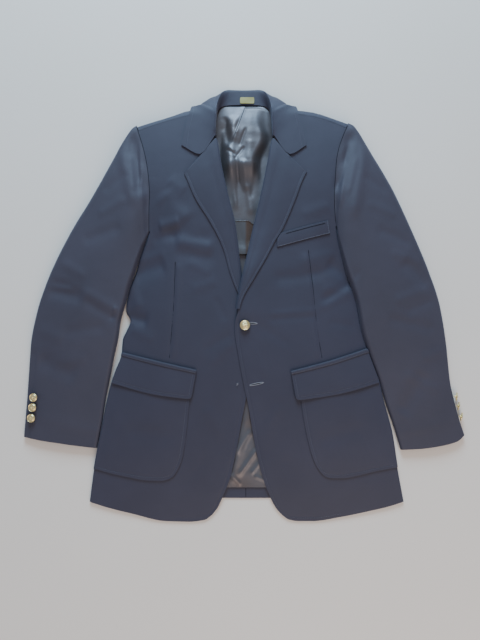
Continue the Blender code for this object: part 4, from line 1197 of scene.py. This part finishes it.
# buttons: domed metal with a raised rim, ring and rosette
buttonParts = {
    "around": 96,
    "profile": ((0.3, 0), (0.3, 0.28), (0.6, 0.28), (0.9, 0.29), (0.97, 0.32), (1.0, 0.38), (0.99, 0.44)),
    "rings": 34,
    "petals": 8,
    "frontRadius": 9.5 * mm,
    "cuffRadius": 7.6 * mm,
    "frontPlace": (-1.5 * mm, -58 * mm, 0.6 * mm),
    "cuffPlaces": (
        {"name": "cuff_button_right_1", "foot": (-382, -190, 13.6), "lean": (-0.12, 0, 1), "spin": 0.3},
        {"name": "cuff_button_right_2", "foot": (-383.5, -208, 13.0), "lean": (-0.1, 0, 1), "spin": 1.1},
        {"name": "cuff_button_right_3", "foot": (-385, -227, 12.4), "lean": (-0.1, 0, 1), "spin": 2.0},
        {"name": "cuff_button_left_1", "foot": (386.6, -188, 8), "lean": (0.94, -0.15, 0.3), "spin": 0.7},
        {"name": "cuff_button_left_2", "foot": (389.6, -205, 8), "lean": (0.94, -0.2, 0.3), "spin": 1.7},
        {"name": "cuff_button_left_3", "foot": (393.8, -224, 8), "lean": (0.93, -0.25, 0.3), "spin": 2.6},
    ),
}


def buttonTop(across, turn):
    # height of the face over the button's radius: dome, rolled rim, ring of beads and a rosette
    dome = 0.44 + 0.24 * (1 - across ** 2)
    rim = 0.06 * hump(across - 0.91, 0.05) - 0.05 * hump(across - 0.79, 0.05)
    beads = 0.02 * hump(across - 0.69, 0.035) * (0.5 + 0.5 * np.cos(turn * 28))
    reach = 0.44 + 0.12 * np.cos(turn * buttonParts["petals"])
    petals = 0.03 * ease((reach - across) / 0.14) * (0.55 + 0.45 * np.cos(turn * buttonParts["petals"]))
    heart = 0.03 * ease((0.17 - across) / 0.1)
    return dome + rim + beads + petals + heart


def makeButton(name, foot, lean, radius, spin, finish):
    up = np.array(lean, float) / np.linalg.norm(lean)
    across = np.cross(up, (0, 1, 0))
    across /= np.linalg.norm(across)
    third = np.cross(up, across)
    turns = spin + np.linspace(0, 2 * math.pi, buttonParts["around"], endpoint=False)
    spokes = across * np.cos(turns)[:, None] + third * np.sin(turns)[:, None]
    shape = bmesh.new()
    rings = []
    for wide, high in buttonParts["profile"]:
        rings.append([shape.verts.new(foot + radius * (wide * spoke + high * up)) for spoke in spokes])
    for wide in np.linspace(0.96, 0.03, buttonParts["rings"]):
        heights = buttonTop(wide, turns - spin)
        rings.append([shape.verts.new(foot + radius * (wide * s + h * up)) for s, h in zip(spokes, heights)])
    for low, high in zip(rings, rings[1:]):
        for i in range(len(turns)):
            j = (i + 1) % len(turns)
            shape.faces.new((low[i], low[j], high[j], high[i]))
    shape.faces.new(rings[0])
    shape.faces.new(rings[-1])
    bmesh.ops.recalc_face_normals(shape, faces=shape.faces)
    mesh = bpy.data.meshes.new(name + "_metal")
    shape.to_mesh(mesh)
    shape.free()
    piece = addPiece(name + "_metal", mesh, finish, 80)
    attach(piece, "root")
    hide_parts(name)


def makeButtons(finish):
    out, y, gap = buttonParts["frontPlace"]
    foot = atFront(leftSide, out, y, gap)
    makeButton("front_button", foot, (0, 0, 1), buttonParts["frontRadius"], 0.2, finish)
    radius = buttonParts["cuffRadius"]
    for place in buttonParts["cuffPlaces"]:
        foot = np.array(place["foot"]) * mm
        makeButton(place["name"], foot, place["lean"], radius, place["spin"], finish)


# stitching, buttonholes and loose threads
threadParts = {
    "pitch": 3.2 * mm,
    "length": 2.0 * mm,
    "radius": 0.2 * mm,
    "lift": 0.12 * mm,
    "holeRadius": 0.5 * mm,
    "seamRadius": 0.5 * mm,
    "seamLift": 0.1 * mm,
    "holes": ((6, -54, 25, -54.5), (11, -168, 36, -163)),  # each from (x, y) to (x, y)
    "holeHalf": 1.5 * mm,
    "slitRadius": 0.8 * mm,
    "endSpot": (-12 * mm, -166 * mm),
    "endCount": 9,
    "endRadius": 0.17 * mm,
}


def stitchRow(line):
    # short stitches along a line of points: pairs of ends at the thread's pitch
    line = np.asarray(line, float)
    length = lengthAlong(line)
    starts = np.arange(threadParts["pitch"] / 2, length[-1] - threadParts["length"], threadParts["pitch"])
    made = []
    for start in starts:
        at = start + np.linspace(0, threadParts["length"], 5)
        stitch = np.stack([np.interp(at, length, line[:, i]) for i in range(3)], axis=1)
        stitch[:, 2] += threadParts["lift"] * np.array((-1.5, 0.6, 1, 0.6, -1.5))
        made.append(stitch)
    return made


def frontEdgeLine(side, away):
    # along the front edge below the break, round the corner and on along the hem
    y = np.linspace(side["breakY"] - 20 * mm, side["edge"]["y"][0] + 14 * mm, 160)
    out = column(side["edge"], "y", "out", y) + away
    upEdge = atFront(side, out, y)
    hemOut = np.linspace(side["hem"]["out"][0] + 16 * mm, side["hem"]["out"][-1] - 12 * mm, 90)
    alongHem = atFront(side, hemOut, column(side["hem"], "out", "y", hemOut) + away)
    return [upEdge, alongHem[:44]]


def lapelEdgeLine(side, away):
    points = []
    for share in np.linspace(0.05, 0.97, 110):
        y, leafOut, leafY = lapelLines(side, share)
        roll = column(side["edge"], "y", "out", y)
        part = away / max(abs(leafOut - roll), away * 2)
        out, rowY, z = lapelLeaf(side, y, leafOut, leafY, np.array([part]))
        if share > 0.9:
            out, rowY, z = gorgeRow(side, share, out, rowY, z, np.array([part]))
        points.append((sideX(side, out[0]), rowY[0], z[0]))
    peak = points[-1]
    notch = (sideX(side, side["notch"][0] + 3 * mm), side["notch"][1] - away * 1.2)
    steps = np.linspace(0.08, 1, 24)
    xs = peak[0] + steps * (notch[0] - peak[0])
    ys = peak[1] + steps * (notch[1] - peak[1])
    zs = frontHeight(side, np.abs(xs - coat["centreX"]), ys) + coat["lapelGap"] + coat["lapelCloth"]
    return [np.array(points), np.stack([xs, ys, zs], axis=1)]


def pocketEdgeLine(side, away):
    # down the pocket's front edge, round its corner and along its bottom
    y = np.linspace(pocketParts["topY"] - 45 * mm, side["patch"]["y"][0] + 8 * mm, 60)
    lift = oneLayer
    down = atFront(side, column(side["patch"], "y", "out", y) + away, y, lift)
    out = np.linspace(side["patchBottom"]["out"][0] + 9 * mm, side["patchBottom"]["out"][-1] - 8 * mm, 60)
    along = atFront(side, out, column(side["patchBottom"], "out", "y", out) + away, lift)
    return [np.concatenate([down, along])]


def flapEdgeLines(side, away):
    lift = 2 * oneLayer
    shares = np.linspace(0.16, 0.9, 30)
    end = flapGrid(side, lift, shares, [], pocketParts["flapLift"])
    bottom = flapGrid(side, lift, (1 - away / (54 * mm),), [], pocketParts["flapLift"])[0]
    down = end[:, 0] + (side["sign"] * away, 0, 0)
    onStrip = lift + coat["seamGap"] + pocketParts["stripCloth"] + 0.2 * mm
    strip = [flapGrid(side, onStrip, (share,), [])[0] for share in (0.03, 0.1)]
    return [down, bottom[6:]] + strip


def makeStitching(finish):
    away = pocketParts["stitch"]
    rows = []
    for side in (leftSide, rightSide):
        lines = lapelEdgeLine(side, lapelParts["stitch"]) + pocketEdgeLine(side, away)
        lines += flapEdgeLines(side, away)
        if side is leftSide:
            lines += frontEdgeLine(side, frontParts["edgeStitch"])
        for line in lines:
            rows += stitchRow(line)
    grid = collarGrid()
    for leafEnd in (grid[:34, -5], grid[-34:, -5]):
        rows += stitchRow(leafEnd + (0, 0, 0.1 * mm))
    for part in (0.02, 0.98):
        rows += stitchRow(weltColumn(part, np.linspace(0.1, 0.9, 9), oneLayer + 0.3 * mm))
    return sweep("edge_stitching", rows, threadParts["radius"], finish, 5)


def weltColumn(part, shares, lift):
    # points up the welt at one place along it
    return np.array([weltPoints(leftSide, np.array([part]), share, lift)[0] for share in shares])


def makeWeltHighlight(finish):
    # a lighter cord along the welt's pressed lower edge and end: a painted highlight where they catch the
    # light
    lift = oneLayer + 0.1 * mm
    low = weltPoints(leftSide, np.linspace(0.02, 0.985, 60), 0.03, lift)
    end = weltColumn(0.985, np.linspace(0.03, 0.96, 20), lift)
    return sweep("welt_edge_highlight", [low, end], 0.35 * mm, finish, 6)


def makeSeamShadeLines(finish):
    # near-black lines of painted shade along the darts, armholes, centre back seam and breast pocket's mouth
    mouth = weltPoints(leftSide, np.linspace(0.14, 0.93, 60), 0.83, oneLayer + 0.4 * mm)
    seamY = np.linspace(coat["backHemY"] + 0.4 * mm, coat["liningHemY"] - 1 * mm, 12)
    lines = [mouth, np.stack([0 * seamY + coat["centreX"], seamY, 0 * seamY + coat["cloth"]], axis=1)]
    for side in (leftSide, rightSide):
        y = np.linspace(side["underarm"] + 2 * mm, side["armhole"]["y"][-1] - 7 * mm, 90)
        out = column(side["armhole"], "y", "out", y) + 0.2 * mm
        lines.append(atFront(side, out, y, threadParts["seamLift"]))
        y = np.linspace(side["dart"]["y"][0] + 3 * mm, side["dart"]["y"][-1], 90)
        lines.append(atFront(side, column(side["dart"], "y", "out", y), y, threadParts["seamLift"]))
    return sweep("seam_shade_lines", lines, threadParts["seamRadius"], finish, 6, flat=0.5)


def makeButtonholes(thread, dark):
    # a keyhole worked in thread round a slit, at the fastened button and at the empty one below; the slit is
    # a near-black cord of painted shade
    lines = []
    slits = []
    for x0, y0, x1, y1 in threadParts["holes"]:
        run = np.array((x1 - x0, y1 - y0)) * mm
        size = np.linalg.norm(run)
        run /= size
        side = np.array((-run[1], run[0]))
        turns = np.linspace(0, 2 * math.pi, 49)
        around = np.array((x0, y0)) * mm + run * size / 2
        reach = size / 2 * np.cos(turns)
        eye = 1 + 0.7 * hump(reach + size / 2, 3 * mm)
        flat = around + reach[:, None] * run + (threadParts["holeHalf"] * np.sin(turns) * eye)[:, None] * side
        lines.append(atFront(leftSide, flat[:, 0] - coat["centreX"], flat[:, 1], 0.2 * mm))
        inner = around + np.linspace(-0.47, 0.47, 20)[:, None] * size * run
        slits.append(atFront(leftSide, inner[:, 0] - coat["centreX"], inner[:, 1], -0.1 * mm))
    hole = sweep("buttonhole_thread", lines, threadParts["holeRadius"], thread, 8)
    slit = sweep("buttonhole_slit_shade", slits, threadParts["slitRadius"], dark, 8, flat=0.45)
    return hole, slit


def makeLooseThreads(finish):
    # what is left of the thread where the lower button was
    spot = threadParts["endSpot"]
    lines = []
    for i in range(threadParts["endCount"]):
        turn = i * 2.4
        t = np.linspace(0, 1, 9)
        reach = (1.4 + 0.5 * (i % 4)) * mm
        x = spot[0] + reach * t * math.cos(turn) + 0.5 * mm * np.sin(t * 4 + i)
        y = spot[1] + reach * t * math.sin(turn) + 0.5 * mm * np.cos(t * 3 + i)
        line = atFront(leftSide, x - coat["centreX"], y, 0.1 * mm)
        line[:, 2] += (1.1 + 0.2 * (i % 3)) * mm * t * (1.3 - t)
        lines.append(line)
    return sweep("thread_ends", lines, threadParts["endRadius"], finish, 6)


# materials
def newGroup(name, inputs, outputs):
    group = bpy.data.node_groups.new(name, "ShaderNodeTree")
    for label, kind, value in inputs:
        socket = group.interface.new_socket(label, in_out="INPUT", socket_type=kind)
        if value is not None:
            socket.default_value = value
    for label, kind in outputs:
        group.interface.new_socket(label, in_out="OUTPUT", socket_type=kind)
    ends = group.nodes.new("NodeGroupInput"), group.nodes.new("NodeGroupOutput")
    return group, *ends


def node(tree, kind, **values):
    made = tree.nodes.new(kind)
    for key, value in values.items():
        if hasattr(made, key):
            setattr(made, key, value)
        else:
            made.inputs[key].default_value = value
    return made


def link(tree, source, target):
    tree.links.new(source, target)


def maths(tree, operation, a, b=None, c=None):
    made = node(tree, "ShaderNodeMath", operation=operation)
    for i, value in enumerate((a, b, c)):
        if value is None:
            continue
        if isinstance(value, (int, float)):
            made.inputs[i].default_value = value
        else:
            link(tree, value, made.inputs[i])
    return made.outputs[0]


def noise(tree, vector, scale, detail=2.0, roughness=0.5):
    made = tree.nodes.new("ShaderNodeTexNoise")
    made.inputs["Detail"].default_value = detail
    made.inputs["Roughness"].default_value = roughness
    link(tree, vector, made.inputs["Vector"])
    if isinstance(scale, (int, float)):
        made.inputs["Scale"].default_value = scale
    else:
        link(tree, scale, made.inputs["Scale"])
    return made.outputs["Fac"]


def weaveGroup():
    # two sets of threads that pass over and under in pairs, with slubs and a soft mottle; the Shade output
    # also paints shade, darker between the threads and lighter on their crowns
    group, given, result = newGroup(
        "Hopsack Weave",
        [("Vector", "NodeSocketVector", None), ("Threads per metre", "NodeSocketFloat", 1100.0),
         ("Mottle", "NodeSocketFloat", 0.2)],
        [("Height", "NodeSocketFloat"), ("Shade", "NodeSocketFloat")],
    )
    split = node(group, "ShaderNodeSeparateXYZ")
    link(group, given.outputs["Vector"], split.inputs[0])
    count = given.outputs["Threads per metre"]
    waver = maths(group, "MULTIPLY", noise(group, given.outputs["Vector"], 240.0, 1.0), 1.6)
    counts = [
        maths(group, "ADD", maths(group, "MULTIPLY", split.outputs[axis], count), waver)
        for axis in ("X", "Y")
    ]
    warp, weft = (
        maths(group, "ABSOLUTE", maths(group, "SINE", maths(group, "MULTIPLY", each, math.pi)))
        for each in counts
    )
    overs = [maths(group, "SINE", maths(group, "MULTIPLY", each, math.pi / 2)) for each in counts]
    over = maths(group, "MULTIPLY_ADD", maths(group, "MULTIPLY", overs[0], overs[1]), 1.6, 0.5)
    over = maths(group, "MINIMUM", maths(group, "MAXIMUM", over, 0.0), 1.0)
    height = maths(group, "ADD", maths(group, "MULTIPLY", warp, over),
                   maths(group, "MULTIPLY", weft, maths(group, "SUBTRACT", 1.0, over)))
    link(group, height, result.inputs["Height"])
    fine = noise(group, given.outputs["Vector"], 620.0, 3.0, 0.7)
    broad = noise(group, given.outputs["Vector"], 45.0, 3.0, 0.55)
    mottle = maths(group, "ADD", maths(group, "MULTIPLY", maths(group, "SUBTRACT", fine, 0.5), 2.4),
                   maths(group, "MULTIPLY", maths(group, "SUBTRACT", broad, 0.5), 1.2))
    # colour share: random mottle plus painted shade from the threads' height
    shade = maths(group, "MULTIPLY_ADD", mottle, given.outputs["Mottle"],
                  maths(group, "MULTIPLY_ADD", height, 0.3, 0.8))
    link(group, shade, result.inputs["Shade"])
    return group


def pressedGroup():
    # soft broad waves of wear, dust and pressing
    group, given, result = newGroup(
        "Pressed Cloth",
        [("Vector", "NodeSocketVector", None), ("Scale", "NodeSocketFloat", 9.0)],
        [("Wear", "NodeSocketFloat"), ("Ripple", "NodeSocketFloat")],
    )
    wear = noise(group, given.outputs["Vector"], given.outputs["Scale"], 2.0, 0.5)
    link(group, wear, result.inputs["Wear"])
    finer = maths(group, "MULTIPLY", given.outputs["Scale"], 3.2)
    link(group, noise(group, given.outputs["Vector"], finer, 2.0, 0.45), result.inputs["Ripple"])
    return group


groups = {}


def useGroup(tree, name, vector, **values):
    made = tree.nodes.new("ShaderNodeGroup")
    made.node_tree = groups[name]
    link(tree, vector, made.inputs["Vector"])
    for key, value in values.items():
        made.inputs[key.replace("_", " ")].default_value = value
    return made


def newMaterial(name, turn=0.0):
    # a material with its shader and the cloth's own direction, turned about the upright axis
    made = bpy.data.materials.new(name)
    made.use_nodes = True
    tree = made.node_tree
    place = node(tree, "ShaderNodeTexCoord")
    turned = node(tree, "ShaderNodeMapping")
    turned.inputs["Rotation"].default_value = (0, 0, turn)
    link(tree, place.outputs["Object"], turned.inputs["Vector"])
    return made, tree, tree.nodes["Principled BSDF"], turned.outputs[0]


def blend(tree, share, low, high):
    made = node(tree, "ShaderNodeMix", data_type="RGBA")
    made.inputs["A"].default_value = (*low, 1)
    made.inputs["B"].default_value = (*high, 1)
    link(tree, share, next(s for s in made.inputs if s.name == "Factor" and s.type == "VALUE"))
    return next(s for s in made.outputs if s.type == "RGBA")


def bump(tree, height, strength, distance, normal=None):
    made = node(tree, "ShaderNodeBump", Strength=strength, Distance=distance)
    link(tree, height, made.inputs["Height"])
    if normal is not None:
        link(tree, normal, made.inputs["Normal"])
    return made.outputs["Normal"]


worsted = {
    "dark": (0.011, 0.011, 0.020),
    "light": (0.046, 0.046, 0.076),
    "roughness": 0.6,
    "gloss": 0.5,
    "sheen": 0.16,
    "sheenTint": (0.66, 0.76, 1.0, 1),
    # a lighter, greyer copy of the cloth's light colour for the sleeves: painted sheen where they tilt
    # towards grazing light
    "sleevePaintedSheen": (0.066, 0.062, 0.088),
    "threads": 1050.0,
    "mottle": 0.16,
}


def worstedMaterial(name, turn, light=worsted["light"]):
    made, tree, shader, vector = newMaterial(name, turn)
    weave = useGroup(tree, "weave", vector, Threads_per_metre=worsted["threads"], Mottle=worsted["mottle"])
    pressed = useGroup(tree, "pressed", vector, Scale=9.0)
    share = maths(tree, "MULTIPLY_ADD", weave.outputs["Shade"], 0.55,
                  maths(tree, "MULTIPLY_ADD", pressed.outputs["Wear"], 0.3, -0.18))
    link(tree, blend(tree, share, worsted["dark"], light), shader.inputs["Base Color"])
    shader.inputs["Roughness"].default_value = worsted["roughness"]
    shader.inputs["Specular IOR Level"].default_value = worsted["gloss"]
    shader.inputs["Sheen Weight"].default_value = worsted["sheen"]
    shader.inputs["Sheen Roughness"].default_value = 0.45
    shader.inputs["Sheen Tint"].default_value = worsted["sheenTint"]
    soft = bump(tree, pressed.outputs["Ripple"], 0.35, 1.6 * mm)
    link(tree, bump(tree, weave.outputs["Height"], 0.35, 0.25 * mm, soft), shader.inputs["Normal"])
    return made


satins = {
    "taupeLining": {
        "dark": (0.088, 0.054, 0.038),
        "light": (0.125, 0.15, 0.18),
        "roughness": 0.45,
        "shine": 1.0,
        "metal": 0.6,
        "threads": 2600.0,
        "ripple": 0.3,
    },
    "goldLabel": {
        "dark": (0.24, 0.22, 0.06),
        "light": (0.50, 0.49, 0.18),
        "roughness": 0.5,
        "shine": 0.4,
        "metal": 0.0,
        "threads": 1500.0,
        "ripple": 0.1,
    },
}


def satinMaterial(name):
    made, tree, shader, vector = newMaterial(name, 0.1)
    look = satins[name]
    pressed = useGroup(tree, "pressed", vector, Scale=14.0)
    weave = useGroup(tree, "weave", vector, Threads_per_metre=look["threads"], Mottle=0.12)
    share = maths(tree, "MULTIPLY_ADD", weave.outputs["Shade"], 0.45,
                  maths(tree, "MULTIPLY_ADD", pressed.outputs["Wear"], 0.7, -0.35))
    link(tree, blend(tree, share, look["dark"], look["light"]), shader.inputs["Base Color"])
    shader.inputs["Roughness"].default_value = look["roughness"]
    shader.inputs["Specular IOR Level"].default_value = look["shine"]
    shader.inputs["Metallic"].default_value = look["metal"]
    shader.inputs["Sheen Weight"].default_value = 0.3
    shader.inputs["Sheen Roughness"].default_value = 0.3
    shader.inputs["Sheen Tint"].default_value = (0.6, 0.8, 1.0, 1)
    soft = bump(tree, pressed.outputs["Ripple"], look["ripple"], 2.2 * mm)
    link(tree, bump(tree, weave.outputs["Height"], 0.15, 0.1 * mm, soft), shader.inputs["Normal"])
    return made


def patchMaterial():
    # silver grey satin that turns copper brown on one side of the piece
    made, tree, shader, vector = newMaterial("patchSatin")
    split = node(tree, "ShaderNodeSeparateXYZ")
    link(tree, vector, split.inputs[0])
    pressed = useGroup(tree, "pressed", vector, Scale=30.0)
    waver = maths(tree, "MULTIPLY_ADD", pressed.outputs["Wear"], 0.008, split.outputs["X"])
    share = maths(tree, "MULTIPLY_ADD", waver, 260.0, -1.6)
    share = maths(tree, "MINIMUM", maths(tree, "MAXIMUM", share, 0.0), 1.0)
    link(tree, blend(tree, share, (0.062, 0.062, 0.066), (0.06, 0.034, 0.022)), shader.inputs["Base Color"])
    shader.inputs["Roughness"].default_value = 0.3
    shader.inputs["Sheen Weight"].default_value = 0.2
    link(tree, bump(tree, pressed.outputs["Ripple"], 0.3, 1.2 * mm), shader.inputs["Normal"])
    return made


def brassMaterial():
    made, tree, shader, vector = newMaterial("polishedBrass")
    wear = noise(tree, vector, 900.0, 3.0, 0.6)
    link(tree, blend(tree, wear, (0.80, 0.61, 0.24), (1.0, 0.88, 0.50)), shader.inputs["Base Color"])
    shader.inputs["Metallic"].default_value = 1
    link(tree, maths(tree, "MULTIPLY_ADD", wear, 0.2, 0.24), shader.inputs["Roughness"])
    link(tree, bump(tree, noise(tree, vector, 1600.0, 2.0), 0.12, 0.1 * mm), shader.inputs["Normal"])
    return made


threads = {
    "navyThread": {
        "dark": (0.05, 0.055, 0.08),
        "light": (0.12, 0.13, 0.17),
        "sheen": 0.3,
        "gloss": 0.5,
    },
    "holeThread": {
        "dark": (0.18, 0.18, 0.20),
        "light": (0.34, 0.34, 0.36),
        "sheen": 0.3,
        "gloss": 0.5,
    },
    # near-black, without sheen: painted shade in seams, slits and the pocket's mouth
    "seamShadow": {
        "dark": (0.006, 0.006, 0.009),
        "light": (0.012, 0.012, 0.016),
        "sheen": 0.0,
        "gloss": 0.05,
    },
}


def threadMaterial(name):
    made, tree, shader, vector = newMaterial(name)
    look = threads[name]
    fibres = noise(tree, vector, 1500.0, 2.0)
    link(tree, blend(tree, fibres, look["dark"], look["light"]), shader.inputs["Base Color"])
    shader.inputs["Roughness"].default_value = 0.6
    shader.inputs["Specular IOR Level"].default_value = look["gloss"]
    shader.inputs["Sheen Weight"].default_value = look["sheen"]
    return made


def floorMaterial():
    made, tree, shader, vector = newMaterial("paleFloor")
    share = noise(tree, vector, 3.0, 2.0)
    link(tree, blend(tree, share, (0.80, 0.745, 0.655), (0.84, 0.79, 0.705)), shader.inputs["Base Color"])
    shader.inputs["Roughness"].default_value = 0.75
    return made


# camera, floor and lights
studio = {
    "cameraPlace": (-0.0070, -0.1427, 0.8999),
    "cameraTilt": math.radians(6.1),
    "lens": 27.06,
    "floorSize": 6.0,
    "lights": (
        {
            "name": "windowLight",
            "place": (-0.12, 2.0, 1.05),
            "aim": (0, 0.15, 0),
            "size": 1.0,
            "power": 72,
            "colour": (0.50, 0.74, 1.0),
        },
        {
            "name": "roomLight",
            "place": (0.5, -1.7, 1.3),
            "aim": (0, -0.2, 0),
            "size": 1.6,
            "power": 26,
            "colour": (1.0, 0.80, 0.68),
        },
    ),
    "sky": (0.86, 0.88, 1.0, 1),
    "skyPower": 0.47,
}


def makeStudio():
    camera = bpy.data.objects.new("camera", bpy.data.cameras.new("camera"))
    camera.location = studio["cameraPlace"]
    camera.rotation_euler = (studio["cameraTilt"], 0, 0)
    camera.data.lens = studio["lens"]
    camera.data.sensor_width = 36
    camera.data.clip_start = 0.01
    bpy.context.scene.collection.objects.link(camera)
    bpy.context.scene.camera = camera
    half = studio["floorSize"] / 2
    mesh = bpy.data.meshes.new("floor")
    corners = [(-half, -half, 0), (half, -half, 0), (half, half, 0), (-half, half, 0)]
    mesh.from_pydata(corners, [], [(0, 1, 2, 3)])
    floor = bpy.data.objects.new("floor", mesh)
    mesh.materials.append(floorMaterial())
    floor.location.z = -0.3 * mm
    bpy.context.scene.collection.objects.link(floor)
    for row in studio["lights"]:
        light = bpy.data.lights.new(row["name"], "AREA")
        light.energy = row["power"]
        light.size = row["size"]
        light.color = row["colour"]
        lamp = bpy.data.objects.new(row["name"], light)
        lamp.location = row["place"]
        aim = np.array(row["aim"]) - row["place"]
        flat = math.hypot(aim[0], aim[1])
        lamp.rotation_euler = (math.atan2(flat, -aim[2]), 0, math.atan2(aim[1], aim[0]) - math.pi / 2)
        bpy.context.scene.collection.objects.link(lamp)
    world = bpy.data.worlds.new("studioSky")
    world.use_nodes = True
    world.node_tree.nodes["Background"].inputs["Color"].default_value = studio["sky"]
    world.node_tree.nodes["Background"].inputs["Strength"].default_value = studio["skyPower"]
    bpy.context.scene.world = world


def dress():
    groups["weave"] = weaveGroup()
    groups["pressed"] = pressedGroup()
    frontCloth = worstedMaterial("navyWorsted", 0.0)
    collarCloth = worstedMaterial("navyWorstedCollar", 0.6)
    # the sleeves use a lighter copy of the worsted, with painted sheen
    sleeveCloth = {
        "left": worstedMaterial("navyWorstedLeftSleevePaintedSheen", 0.33, worsted["sleevePaintedSheen"]),
        "right": worstedMaterial("navyWorstedRightSleevePaintedSheen", -0.33, worsted["sleevePaintedSheen"]),
    }
    lapelCloth = {
        "left": worstedMaterial("navyWorstedLeftLapel", -0.25),
        "right": worstedMaterial("navyWorstedRightLapel", 0.25),
    }
    lining = satinMaterial("taupeLining")
    label = satinMaterial("goldLabel")
    for side in (leftSide, rightSide):
        makeBack(side, frontCloth)
        makeSidePanel(side, frontCloth)
        makeFront(side, frontCloth)
        makeLapel(side, lapelCloth[side["name"]])
        makeSleeve(side, sleeveCloth[side["name"]])
        makePatchPocket(side, frontCloth)
        makeFlap(side, frontCloth)
        makeStrip(side, frontCloth)
        print("made the", side["name"], "side")
    makeWelt(leftSide, frontCloth)
    makeCollar(collarCloth)
    makeLining(lining)
    makeLabel(label)
    makePatch(patchMaterial())
    print("made collar, lining and label")
    makeButtons(brassMaterial())
    navyThread = threadMaterial("navyThread")
    holeThread = threadMaterial("holeThread")
    shadow = threadMaterial("seamShadow")
    holes = makeButtonholes(holeThread, shadow)
    seams = (makeStitching(navyThread), makeSeamShadeLines(shadow), makeWeltHighlight(navyThread))
    for piece in (*seams, *holes, makeLooseThreads(holeThread)):
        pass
    print("made buttons and stitching")
    makeStudio()
    print("set camera, floor and lights")


dress()
